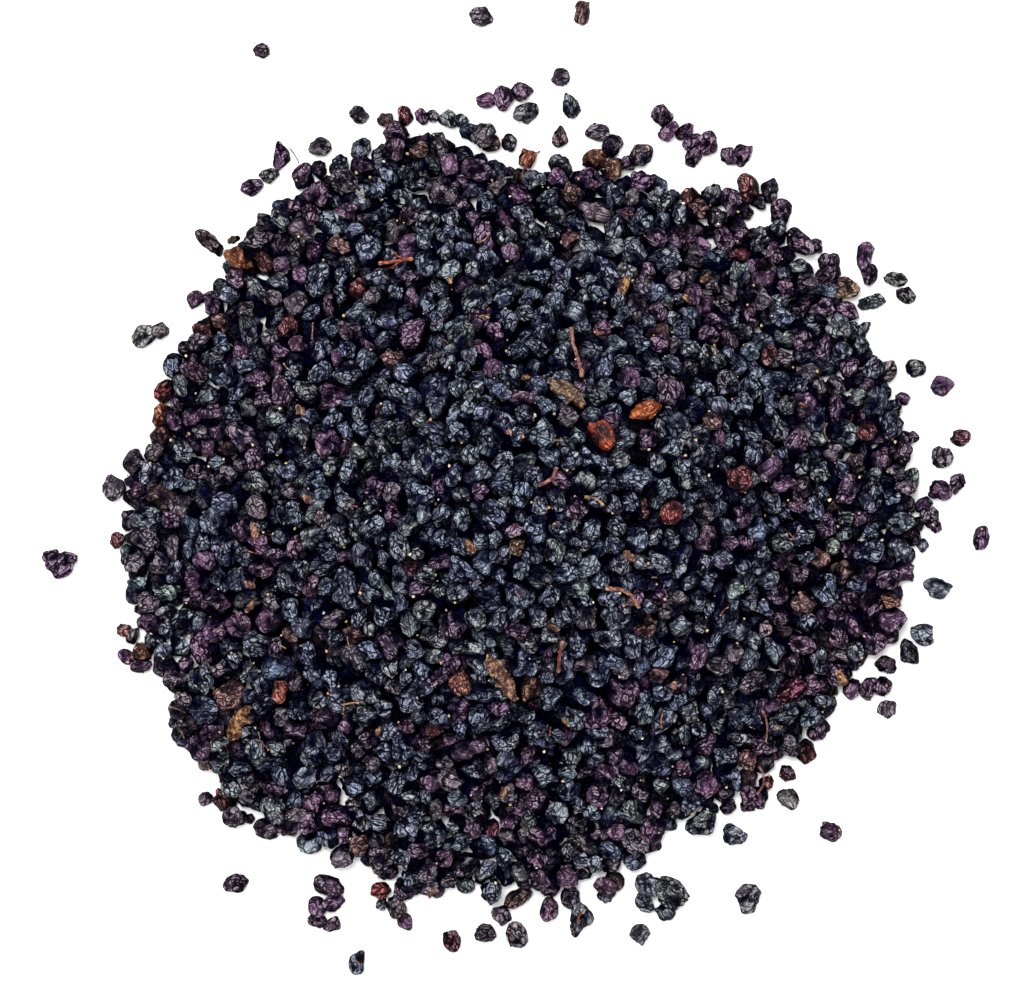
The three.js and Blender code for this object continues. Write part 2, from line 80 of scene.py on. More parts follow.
CELL = 0.3  # of the height maps
MAP_MARGIN = 6  # of the maps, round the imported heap's box
LEAST_TOP = 0.05  # a map that is lower shows bare floor
BERRY_HALF = 2.03  # half the width of a typical dried berry
BERRY_SIZES = (0.62, 1.46)  # the smallest and the largest as shares of that
STRETCH = (1.0, 1.34)  # length over width
FLATNESS = (0.76, 1.0)  # height over width
RIM_HEIGHT = 0.86  # height over width of a berry on the floor
RIM_STRETCH = (1.0, 1.25)  # and its length over its width

CAP_ABOVE = 2.2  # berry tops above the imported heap's smoothed surface
CAP_SMOOTHING = 2.6  # of that surface
CAP_SLACK = 0.3  # how far a berry's top may pass it
CAP_LEAST = 5.6  # a berry that leans on others at the edge
LEAST_ROOM = 2.8  # no berry is dropped where less is left under the cap
DROPS_AT_ONCE = 60  # places that are drawn together
TILT = 0.3  # radians, of a berry that lies on others
MOST_ROLLS = 14  # of a berry
ROLL_STRIDE = 2  # cells, until no roll that long takes it lower
LEAST_FALL = 0.02  # it rolls on only if it comes to lie this much lower
EDGE_INSET = 1.5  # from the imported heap's edge in to the outermost berries' middles
RIM_BAND = 2.1  # from that edge in, what the outermost berries cover
RIM_HALF = (1.0, 2.2)  # half the width of a round berry that fits there
RIM_SHRINK = 0.88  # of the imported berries, which are swollen to hold together
RIM_LIFT = 0.25  # no higher above the floor than this
GAP_INSET = 0.8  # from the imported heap's edge in, no floor shows between the berries
GAP_TOP = 0.8  # it shows where the berries' tops are lower than this
GAP_LEAST = 0.45  # but not where a gap reaches less than this from its middle
GAP_HALF = (1.2, 2.0)  # half the width of a berry that fills one

FINE_CORNERS = 222  # of a berry that shows
FINE_LEAN = 1.5  # how much denser they are above than below
PLAIN_CORNERS = 40  # of a berry that shows from below alone
HIDDEN_CORNERS = 14  # of a berry inside the heap
LEAST_SHOWN = 6  # cells of the height map that a berry which shows takes up from above
FIRST_LAYER = 2.6  # middles lower than this belong to berries on the floor
BERRIES_A_PIECE = 420  # keeps a piece under 200,000 triangles

# The berries that rolled farthest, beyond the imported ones: x, y, turn in degrees, width, length.
STRAYS = (
    (11.2, 90.4, 80, 2.6, 3.9),
    (-46.4, 83.5, 0, 2.5, 2.9),
    (82.8, -4.1, 80, 3.1, 3.7),
    (55.8, -56.7, 0, 3.3, 3.7),
    (41.0, -68.9, 40, 4.0, 5.2),
    (-29.2, -80.3, 85, 2.8, 4.1),
    (-50.9, -66.4, 10, 3.4, 4.1),
    (-0.2, -68.8, 35, 3.1, 4.8),
)

Berry = namedtuple("Berry", "middle halves turn kind colour", defaults=("heap", None))


def between(least, most, size=None):
    return rng.uniform(least, most, size)


def unit(vectors):
    return vectors / np.linalg.norm(vectors, axis=-1, keepdims=True)


# -------- height maps

low = np.array(CAD_BOX[0]) / MM - MAP_MARGIN
high = np.array(CAD_BOX[1]) / MM + MAP_MARGIN
COLUMNS = int((high[0] - low[0]) / CELL)
ROWS = int((high[1] - low[1]) / CELL)
map_x = low[0] + (np.arange(COLUMNS) + 0.5) * CELL
map_y = low[1] + (np.arange(ROWS) + 0.5) * CELL


def cell_of(x, y):
    return int((y - low[1]) / CELL), int((x - low[0]) / CELL)


def around(row, column, reach):
    return slice(row - reach, row + reach + 1), slice(column - reach, column + reach + 1)


def box_of(name):
    return [np.array(corner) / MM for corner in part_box(name)]


def tops_of(name):
    """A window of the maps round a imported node, and the node's height over each of its cells."""
    node = frame["nodes"][name]
    corners = [node.matrix_world @ v.co / MM for v in node.data.vertices]
    tree = BVHTree.FromPolygons(corners, [tuple(p.vertices) for p in node.data.polygons])
    lowest, highest = box_of(name)
    first = cell_of(*lowest[:2] - CELL)
    last = cell_of(*highest[:2] + CELL)
    window = slice(first[0], last[0] + 1), slice(first[1], last[1] + 1)
    down = Vector((0, 0, -1))
    tops = np.zeros((ROWS, COLUMNS))[window]
    for row, column in np.ndindex(tops.shape):
        start = Vector((map_x[first[1] + column], map_y[first[0] + row], highest[2] + 1))
        hit = tree.ray_cast(start, down)[0]
        tops[row, column] = hit.z if hit else 0
    return window, tops


def blurred(grid, width):
    """The grid blurred by a bell curve that many millimetres wide."""
    fy = np.fft.fftfreq(grid.shape[0], CELL)[:, None]
    fx = np.fft.rfftfreq(grid.shape[1], CELL)[None, :]
    bell = np.exp(-2 * (math.pi * width) ** 2 * (fx**2 + fy**2))
    return np.fft.irfft2(np.fft.rfft2(grid) * bell, grid.shape)


def widened(mask, distance):
    """The mask grown by a distance all round."""
    reach = int(math.ceil(distance / CELL))
    wide = mask.copy()
    for dr in range(-reach, reach + 1):
        for dc in range(-reach, reach + 1):
            if math.hypot(dr, dc) * CELL <= distance:
                wide |= np.roll(mask, (dr, dc), (0, 1))
    return wide


def depths(mask, cells):
    """How far those cells of a mask lie from the nearest cell outside it."""
    edge = np.argwhere(widened(mask, 1.5 * CELL) & ~mask)  # its diagonal neighbours too
    tree = KDTree(len(edge))
    for index, (row, column) in enumerate(edge):
        tree.insert((row, column, 0), index)
    tree.balance()
    return np.array([tree.find((row, column, 0))[2] for row, column in cells]) * CELL


# -------- pouring


def turned(yaw, tilt_x=0.0, tilt_y=0.0):
    """A rotation: tilted about X and Y, then turned about Z."""
    cx, sx, cy, sy = math.cos(tilt_x), math.sin(tilt_x), math.cos(tilt_y), math.sin(tilt_y)
    cz, sz = math.cos(yaw), math.sin(yaw)
    about_x = np.array([[1, 0, 0], [0, cx, -sx], [0, sx, cx]])
    about_y = np.array([[cy, 0, sy], [0, 1, 0], [-sy, 0, cy]])
    about_z = np.array([[cz, -sz, 0], [sz, cz, 0], [0, 0, 1]])
    return about_z @ about_y @ about_x


def profile(halves, turn):
    """How far below and above its middle a berry reaches over each cell round it."""
    reach = int(max(halves) / CELL) + 1
    offset = np.arange(-reach, reach + 1) * CELL
    x, y = np.meshgrid(offset, offset)
    m = turn @ np.diag(1 / np.square(halves)) @ turn.T
    b = m[0, 2] * x + m[1, 2] * y
    c = m[0, 0] * x**2 + 2 * m[0, 1] * x * y + m[1, 1] * y**2 - 1
    inside = b**2 - m[2, 2] * c
    root = np.sqrt(np.maximum(inside, 0))
    over = inside > 0
    lower = np.where(over, (-b - root) / m[2, 2], np.inf)
    upper = np.where(over, (-b + root) / m[2, 2], -np.inf)
    return reach, lower, upper


def random_halves():
    """Half the length, width and height of a berry."""
    size = BERRY_HALF * rng.triangular(BERRY_SIZES[0], 1.0, BERRY_SIZES[1])
    return size * np.array([between(*STRETCH), 1.0, between(*FLATNESS)])


ROLL_WAYS = ((0, 1), (1, 0), (0, -1), (-1, 0), (1, 1), (1, -1), (-1, 1), (-1, -1))


class Heap:
    """Berries that lie on each other, kept as a map of their tops."""

    def __init__(self, cap, allowed):
        self.top = np.zeros((ROWS, COLUMNS))
        self.owner = np.full((ROWS, COLUMNS), -1)
        self.cap = cap
        self.allowed = allowed
        self.berries = []

    def rest_height(self, row, column, reach, lower):
        return float(np.max(self.top[around(row, column, reach)] - lower))

    def settle(self, row, column, reach, lower):
        """Rolls a berry downhill from a cell until it lies in a hollow."""
        height = self.rest_height(row, column, reach, lower)
        stride = ROLL_STRIDE
        for _ in range(MOST_ROLLS):
            moves = []
            for dr, dc in ROLL_WAYS:
                r, c = row + dr * stride, column + dc * stride
                if self.allowed[r, c]:
                    moves.append((self.rest_height(r, c, reach, lower), r, c))
            lowest = min(moves, default=(height, row, column))
            if lowest[0] < height - LEAST_FALL:
                height, row, column = lowest
            elif stride > 1:
                stride = 1
            else:
                break
        return height, row, column

    def add(self, berry, shape=None):
        """Keeps a berry where it is."""
        reach, _, upper = shape or profile(berry.halves, berry.turn)
        window = around(*cell_of(*berry.middle[:2]), reach)
        tops = berry.middle[2] + upper
        higher = tops > self.top[window]
        self.top[window] = np.where(higher, tops, self.top[window])
        self.owner[window] = np.where(higher, len(self.berries), self.owner[window])
        self.berries.append(berry)

    def lay(self, x, y, halves, turn, pressed=False):
        """Lays a berry on the floor, unless others would hold it up and it isn't pressed in."""
        shape = profile(halves, turn)
        z = self.rest_height(*cell_of(x, y), shape[0], shape[1])
        highest = RIM_LIFT - shape[1].min()
        if pressed or z <= highest:
            z = min(z, highest)
            self.add(Berry(np.array([x, y, z]), halves, turn), shape)

    def lay_round(self, x, y, half):
        """Presses a berry about that wide in among the others on the floor."""
        halves = half * np.array([between(*RIM_STRETCH), 1.0, RIM_HEIGHT])
        self.lay(x, y, halves, turned(between(0, math.pi)), pressed=True)

    def lay_along(self, cells):
        """Lays berries on the floor at those cells, in random order, wherever one fits."""
        for row, column in rng.permutation(cells):
            halves = random_halves()
            self.lay(map_x[column], map_y[row], halves, turned(between(0, math.tau)))

    def fill(self, inside):
        """Lays a berry in every gap there through which the floor shows."""
        bare = inside & (self.top < GAP_TOP)
        cells = np.argwhere(bare)
        depth = depths(bare, cells)
        for index in np.argsort(-depth):
            row, column = cells[index]
            if depth[index] >= GAP_LEAST and self.top[row, column] < GAP_TOP:
                half = np.clip(depth[index] + GAP_LEAST, *GAP_HALF)
                self.lay_round(map_x[column], map_y[row], half)

    def pour(self):
        """Drops berries until none fits under the cap any more."""
        untried = self.allowed.copy()
        while True:
            open_cells = np.flatnonzero(untried & (self.cap - self.top > LEAST_ROOM))
            if open_cells.size == 0:
                return
            drops = min(DROPS_AT_ONCE, open_cells.size)
            for cell in rng.choice(open_cells, drops, replace=False):
                row, column = divmod(int(cell), COLUMNS)
                if self.cap[row, column] - self.top[row, column] <= LEAST_ROOM:
                    continue
                halves = random_halves()
                turn = turned(between(0, math.tau), *rng.normal(0, TILT, 2))
                reach, lower, upper = profile(halves, turn)
                z, r, c = self.settle(row, column, reach, lower)
                if np.any(z + upper > self.cap[around(r, c, reach)] + CAP_SLACK):
                    untried[around(row, column, 1)] = False
                    continue
                middle = np.array([map_x[c], map_y[r], z])
                self.add(Berry(middle, halves, turn), (reach, lower, upper))


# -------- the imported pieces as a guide

LEAST_SHARE = 0.02  # of a blurred footprint, far outside it
LEAST_GAIN = 1.6  # square millimetres of the edge that a berry must cover
COVER_TWICE = 0.7  # what covering a place again costs
CLUMP_LEAST = 1.15  # from a clumped berry's middle to the clump's edge
CLUMP_APART = 1.25  # from a berry's middle to the next one's, over that
PAD = 2  # cells of bare floor round a node's own map


def surface_of_heap():
    """The heap's footprint, and its surface smoothed."""
    tops = np.zeros((ROWS, COLUMNS))
    window, part = tops_of("berry_heap")
    tops[window] = part
    footprint = tops > LEAST_TOP
    share = np.maximum(blurred(footprint.astype(float), CAP_SMOOTHING), LEAST_SHARE)
    return footprint, blurred(tops, CAP_SMOOTHING) / share


def rim_sites(footprint):
    """Round berries that fill the heap's edge as seen from above: x, y, half the width."""
    band = np.argwhere(footprint & widened(~footprint, RIM_HALF[1] + CELL))
    depth = depths(footprint, band)
    bare = np.zeros(footprint.shape)
    edge = band[depth < RIM_BAND]
    bare[edge[:, 0], edge[:, 1]] = 1
    fits = (depth > RIM_HALF[0]) & (depth < RIM_HALF[1])
    spots, halves = band[fits], depth[fits]
    reach = int(RIM_HALF[1] / CELL) + 1
    offset = np.arange(-reach, reach + 1) * CELL
    away = np.hypot(*np.meshgrid(offset, offset))

    def gain(index):
        window = bare[around(*spots[index], reach)]
        return window[away < halves[index]].sum() * CELL**2

    gains = np.array([gain(index) for index in range(len(spots))])
    sites = []
    while gains.max() > LEAST_GAIN:
        best = int(np.argmax(gains))
        row, column = spots[best]
        sites.append((map_x[column], map_y[row], halves[best]))
        window = bare[around(row, column, reach)]
        window[away < halves[best]] = -COVER_TWICE
        near = np.flatnonzero(np.abs(spots - spots[best]).max(axis=1) <= 2 * reach)
        gains[near] = [gain(index) for index in near]
    return sites


def berries_of(name):
    """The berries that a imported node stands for, read off its plan and its height."""
    (rows, columns), tops = tops_of(name)
    mask = np.pad(tops, PAD) > LEAST_TOP
    inside = np.argwhere(mask)
    depth = depths(mask, inside)
    inside = inside - PAD
    spot = np.stack([map_x[columns][inside[:, 1]], map_y[rows][inside[:, 0]]], axis=1)
    middles = []
    left = np.ones(len(spot), bool)
    while left.any() and (not middles or depth[left].max() > CLUMP_LEAST):
        deepest = np.flatnonzero(left)[np.argmax(depth[left])]
        middles.append((spot[deepest], depth[deepest]))
        left &= np.linalg.norm(spot - spot[deepest], axis=1) > depth[deepest] * CLUMP_APART
    away = np.stack([np.linalg.norm(spot - m, axis=1) / d for m, d in middles])
    nearest = np.argmin(away, axis=0)
    floor = box_of(name)[0][2]
    heights = tops[inside[:, 0], inside[:, 1]]
    found = []
    for index in range(len(middles)):
        own = spot[nearest == index]
        middle = own.mean(axis=0)
        spread, axes = np.linalg.eigh(np.cov((own - middle).T))
        wide, long = 2 * np.sqrt(spread)
        half_height = (heights[nearest == index].max() - floor) / 2
        yaw = math.atan2(axes[1, 1], axes[0, 1])
        place = np.array([*middle, floor + half_height])
        found.append(Berry(place, np.array([long, wide, half_height]), turned(yaw), name))
    return found


# -------- berry skins

# A skin's lengths are shares of the berry's half width.
PANELS = 11  # flat places on a skin
PANEL_REACH = (0.8, 1.12)  # how far out they lie
LEAST_FACING = 0.05  # keeps panels that face away from a corner out of it
MOST_REACH = 1.25
FOLD_DEPTH = (0.06, 0.2)  # how far the skin falls in between the ridges
FOLD_WIDTH = (0.08, 0.28)
LUMPS = 8
LUMP_DEPTH = 0.035
LUMP_TURNS = 4.2  # radians across a half width
SPREAD = 400  # keeps two berries' markings apart
SKY_DIRECTIONS = 10
SKY_DISTANCES = (0.5, 0.9, 1.5, 2.3, 3.4)  # at which the sky is looked for over the heap
LIGHT_GAIN = 1.22
LIGHT_POWER = 4.2  # how fast the painted shade turns the gaps dark
FLOOR_LIGHT = 0.5  # the least painted light by the floor, standing in for the light it throws back
FLOOR_LIGHT_HEIGHT = 1.2
SCRAP_LIGHT = 0.55  # the least painted light on what lies on top


def ball(corners, lean):
    """Directions spread over a ball, the denser above the higher lean is, and the triangles."""
    step = np.arange(corners) + 0.5
    z = 1 - 2 * (step / corners) ** lean
    angle = step * math.pi * (3 - math.sqrt(5))
    ring = np.sqrt(1 - z**2)
    directions = np.stack([ring * np.cos(angle), ring * np.sin(angle), z], axis=1)
    hull = bmesh.new()
    for direction in directions:
        hull.verts.new(direction)
    hull.verts.index_update()
    bmesh.ops.convex_hull(hull, input=hull.verts)
    triangles = np.array([[vert.index for vert in face.verts] for face in hull.faces])
    hull.free()
    a, b, c = (directions[triangles[:, i]] for i in range(3))
    inward = np.sum(np.cross(b - a, c - a) * (a + b + c), axis=1) < 0
    triangles[inward] = triangles[inward][:, ::-1]
    return directions, triangles


def shrivelled(directions):
    """The skins' radii in the berries' own directions, and 1 on a ridge to 0 in a hollow."""
    count = len(directions)
    normals = unit(rng.normal(size=(count, PANELS, 3)))
    distance = between(*PANEL_REACH, (count, 1, PANELS))
    facing = np.einsum("ndc,nkc->ndk", directions, normals)
    reach = np.minimum(distance / np.maximum(facing, LEAST_FACING), MOST_REACH)
    nearest = np.partition(reach, 1, axis=2)
    edge = nearest[..., 1] - nearest[..., 0]
    crest = np.exp(-edge / between(*FOLD_WIDTH, (count, 1)))
    radii = nearest[..., 0] - between(*FOLD_DEPTH, (count, 1)) * (1 - crest)
    for _ in range(LUMPS):
        wave = rng.normal(0, LUMP_TURNS, (count, 1, 3))
        phase = between(0, math.tau, (count, 1))
        radii += LUMP_DEPTH * np.sin(np.sum(directions * wave, axis=2) + phase)
    return radii / radii.mean(axis=1, keepdims=True), crest


def painted_light_at(corners):
    """Painted shade: the share of the sky that a corner sees over the heap, with the darkest gaps near
    black, and painted light near the floor.
    """
    row = (corners[..., 1] - low[1]) / CELL
    column = (corners[..., 0] - low[0]) / CELL
    share = np.zeros(corners.shape[:-1])
    for angle in np.arange(SKY_DIRECTIONS) * math.tau / SKY_DIRECTIONS:
        steepest = np.zeros(corners.shape[:-1])
        for distance in SKY_DISTANCES:
            r = np.clip(row + math.sin(angle) * distance / CELL, 0, ROWS - 1).astype(int)
            c = np.clip(column + math.cos(angle) * distance / CELL, 0, COLUMNS - 1).astype(int)
            steepest = np.maximum(steepest, (heap.top[r, c] - corners[..., 2]) / distance)
        share += (1 - steepest / np.hypot(1, steepest)) / SKY_DIRECTIONS
    below = np.clip(1 - corners[..., 2] / FLOOR_LIGHT_HEIGHT, 0, 1) * FLOOR_LIGHT
    return np.maximum(np.clip(share * LIGHT_GAIN, 0, 1) ** LIGHT_POWER, below)


def berry_mesh(berries, corners, lean):
    """One mesh of those berries, with their skins' places, tints, folds and painted light and shade as
    attributes.
    """
    directions, triangles = ball(corners, lean)
    spin = between(0, math.tau, len(berries))
    c, s = np.cos(spin), np.sin(spin)
    about_z = np.zeros((len(berries), 3, 3))
    about_z[:, 0, 0], about_z[:, 0, 1], about_z[:, 1, 0], about_z[:, 1, 1] = c, -s, s, c
    about_z[:, 2, 2] = 1
    turns = np.array([b.turn for b in berries])
    own = np.einsum("nba,ncb,dc->nda", turns, about_z, directions)
    radii, crest = shrivelled(own)
    halves = np.array([b.halves for b in berries])[:, None]
    local = own * radii[..., None] * halves
    placed = np.einsum("nab,ndb->nda", turns, local) + np.array([b.middle for b in berries])[:, None]
    placed[..., 2] = np.maximum(placed[..., 2], 0)
    faces = triangles[None] + (np.arange(len(berries)) * corners)[:, None, None]
    mesh = mesh_from(placed.reshape(-1, 3), faces.reshape(-1, 3))
    place = local + between(-SPREAD, SPREAD, (len(berries), 1, 3))
    tint = np.repeat([[b.colour] for b in berries], corners, axis=1)
    describe(mesh, place, tint, crest, painted_light_at(placed))
    return mesh


def mesh_from(corners, triangles):
    mesh = bpy.data.meshes.new("piece")
    mesh.vertices.add(len(corners))
    mesh.vertices.foreach_set("co", (np.asarray(corners) * MM).ravel())
    mesh.loops.add(triangles.size)
    mesh.loops.foreach_set("vertex_index", triangles.ravel().astype(np.int32))
    mesh.polygons.add(len(triangles))
    mesh.polygons.foreach_set("loop_start", np.arange(0, triangles.size, 3, dtype=np.int32))
    mesh.polygons.foreach_set("use_smooth", np.ones(len(triangles), bool))
    mesh.update(calc_edges=True)
    mesh.validate()
    return mesh


def describe(mesh, place, tint, fold, light):
    """Gives every corner what the materials read."""
    tint = np.concatenate([tint, np.ones((*tint.shape[:-1], 1))], axis=-1)
    for name, kind, field, values in (
        ("skin_place", "FLOAT_VECTOR", "vector", place),
        ("skin_tint", "FLOAT_COLOR", "color", tint),
        ("skin_fold", "FLOAT", "value", fold),
        ("skin_painted_light", "FLOAT", "value", light),
    ):
        attribute = mesh.attributes.new(name, kind, "POINT")
        attribute.data.foreach_set(field, np.asarray(values, float).ravel())


# -------- stalks, husks and specks

# place is a corner's own place on the scrap, and share how far it is from middle to end.
Scrap = namedtuple("Scrap", "corners triangles place share")
STALK_SIDES = 7
STALK_STEPS = 14
STALK_WAIST = 0.85  # of its half width, in its middle
STALK_KNOB = 0.45  # how much thicker it is at its ends
STALK_WAVES = (0.85, 1.15)
FLAKE_STEPS = 6
FLAKE_THICKNESS = 0.09
FLAKE_CURL = 0.5
FLAKE_RAGGED = 0.16  # of its half width
FLAKE_WAVE = 0.08
FLAKE_BLUNT = 1.02  # 1 makes its ends sharp
WELD = CELL / 100
ROUNDING = 0.4  # of a packed form that is cut finer
CRUMPLE_SCALE = 0.9
TEARS = ((0.7, 1.0), (2.1, 0.7))  # how many a millimetre, and how deep
TEAR_SIDES = 9.0  # keeps the tears of its two sides apart
TAPER = 0.5  # of a husk's width at its ends
SCRAP_SPREAD = 99  # keeps two scraps' markings apart


def draped(path, sink):
    """The path laid on the heap as something stiff, over the highest tops that it passes."""
    run = np.linalg.norm(path - path[0], axis=1)
    tops = np.array([heap.top[around(*cell_of(x, y), 1)].max() for x, y in path]) - sink
    hull = [0]
    for index in range(1, len(path)):
        while len(hull) > 1:
            before, last = hull[-2:]
            over = (tops[last] - tops[before]) * (run[index] - run[before])
            if over > (tops[index] - tops[before]) * (run[last] - run[before]):
                break
            hull.pop()
        hull.append(index)
    return np.column_stack([path, np.interp(run, run[hull], tops[hull])])


def arc(start, end, bend):
    """Points of a shallow bow from start to end, bent sideways by a share of its length."""
    t = np.linspace(0, 1, STALK_STEPS)[:, None]
    start, end = np.array(start), np.array(end)
    side = np.array([start[1] - end[1], end[0] - start[0]])
    return start + (end - start) * t + side * bend * 4 * t * (1 - t)


def stalk(start, end, bend, half_width):
    """A closed round stalk laid on the heap, thicker at its ends, with a wavy surface."""
    path = draped(arc(start, end, bend), -half_width)
    count = len(path)
    ahead = unit(np.gradient(path, axis=0))
    side = unit(np.cross(ahead, (0, 0, 1)))
    up = np.cross(side, ahead)
    share = np.abs(np.linspace(-1, 1, count))
    half = half_width * (STALK_WAIST + STALK_KNOB * share**5)[:, None]
    half = half * between(*STALK_WAVES, (count, 1))
    angle = np.arange(STALK_SIDES) * math.tau / STALK_SIDES
    ring = np.stack([np.cos(angle), np.sin(angle)])
    out = side[:, None] * ring[0][:, None] + up[:, None] * ring[1][:, None]
    corners = (path[:, None] + out * half[..., None]).reshape(-1, 3)
    corners = np.concatenate([corners, path[[0]], path[[-1]]])
    triangles = []
    for k in range(STALK_SIDES):
        n = (k + 1) % STALK_SIDES
        for step in range(count - 1):
            a, b = step * STALK_SIDES + k, step * STALK_SIDES + n
            c, d = a + STALK_SIDES, b + STALK_SIDES
            triangles += [(a, b, d), (a, d, c)]
        last = (count - 1) * STALK_SIDES
        triangles += [(len(corners) - 2, n, k), (len(corners) - 1, last + k, last + n)]
    run = np.concatenate([[0], np.cumsum(np.linalg.norm(np.diff(path, axis=0), axis=1))])
    place = np.column_stack([np.repeat(run, STALK_SIDES), np.tile(ring.T * half_width, (count, 1))])
    place = np.concatenate([place, [(0, 0, 0), (run[-1], 0, 0)]])
    share = np.concatenate([np.repeat(share, STALK_SIDES), [1, 1]])
    return Scrap(corners, np.array(triangles), place, share)


def flake(middle, turn, length, width):
    """A closed leaf-shaped flake of husk, curled across and ragged at its edge."""
    u, v = np.meshgrid(np.linspace(-1, 1, 2 * FLAKE_STEPS), np.linspace(-1, 1, FLAKE_STEPS))
    ragged = 1 + FLAKE_RAGGED * np.sin(7 * u + between(0, math.tau)) * np.abs(v)
    x = u * length / 2
    y = v * width / 2 * np.sqrt(FLAKE_BLUNT - u**2) * ragged
    wave = FLAKE_WAVE * np.sin(5 * u + between(0, math.tau))
    z = -FLAKE_CURL * (2 * y / width) ** 2 * width / 2 + wave
    upper = np.stack([x, y, z], axis=-1).reshape(-1, 3)
    lower = upper - (0, 0, FLAKE_THICKNESS)
    rows, columns = u.shape
    grid = np.arange(rows * columns).reshape(rows, columns)
    a, b, c, d = grid[:-1, :-1], grid[:-1, 1:], grid[1:, 1:], grid[1:, :-1]
    top = np.stack([a, b, c, a, c, d], axis=-1).reshape(-1, 3)
    deep = upper.shape[0]
    bottom = top[:, ::-1] + deep
    edge = np.concatenate([grid[0, :-1], grid[:-1, -1], grid[-1, :0:-1], grid[:0:-1, 0]])
    after = np.roll(edge, -1)
    halves = (edge, edge + deep, after), (after, edge + deep, after + deep)
    wall = np.concatenate([np.stack(half, axis=1) for half in halves])
    place = np.concatenate([upper, lower])
    share = np.tile(np.abs(u).ravel(), 2)
    return Scrap(place @ turn.T + middle, np.concatenate([top, bottom, wall]), place, share)


def finer(name, cuts, crumple, ragged):
    """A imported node's form, cut finer, crumpled a little and with its long edges torn."""
    node = frame["nodes"][name]
    fine = bmesh.new()
    fine.from_mesh(node.data)
    fine.transform(node.matrix_world)
    for corner in fine.verts:
        corner.co /= MM
    bmesh.ops.remove_doubles(fine, verts=fine.verts, dist=WELD)
    bmesh.ops.subdivide_edges(fine, edges=fine.edges, cuts=cuts, use_grid_fill=True, smooth=ROUNDING)
    bmesh.ops.triangulate(fine, faces=fine.faces)
    fine.verts.index_update()
    corners = np.array([corner.co for corner in fine.verts])
    triangles = np.array([[corner.index for corner in face.verts] for face in fine.faces])
    fine.free()
    middle = corners.mean(axis=0)
    axes = np.linalg.eigh(np.cov((corners - middle).T))[1][:, ::-1]
    place = (corners - middle) @ axes
    share = np.abs(place[:, 0]) / np.abs(place[:, 0]).max()
    place[:, 1] *= 1 - ragged * TAPER * share**3
    side = np.sign(place[:, 1])
    for scale, deep in TEARS:
        tear = [noise.noise((scale * x, TEAR_SIDES * s, scale)) for x, s in zip(place[:, 0], side)]
        place[:, 1] *= 1 - ragged * deep * np.maximum(tear, 0)
    bends = [noise.noise_vector(Vector(p) * CRUMPLE_SCALE) for p in place]
    place += np.array(bends) * crumple
    return Scrap(place @ axes.T + middle, triangles, place, share)


def scrap_mesh(scraps, colours, least_light=SCRAP_LIGHT):
    """One mesh of those scraps, each with its own colour."""
    sizes = [len(scrap.corners) for scrap in scraps]
    first = np.cumsum([0, *sizes])
    corners = np.concatenate([scrap.corners for scrap in scraps])
    corners[:, 2] = np.maximum(corners[:, 2], 0)
    triangles = np.concatenate([s.triangles + start for s, start in zip(scraps, first)])
    mesh = mesh_from(corners, triangles)
    place = [s.place + between(-SCRAP_SPREAD, SCRAP_SPREAD, 3) for s in scraps]
    share = np.concatenate([scrap.share for scrap in scraps])
    light = np.maximum(painted_light_at(corners), least_light)
    describe(mesh, np.concatenate(place), np.repeat(colours, sizes, axis=0), share, light)
    return mesh


# -------- materials

LIGHT_EXCESS = 1.6  # the light makes white this much brighter than white


def paint(colour):
    """A colour as it looks under the studio light, 0 to 255, as the shader's linear one."""
    share = np.array(colour) / 255
    linear = np.where(share <= 0.04045, share / 12.92, ((share + 0.055) / 1.055) ** 2.4)
    return linear / LIGHT_EXCESS


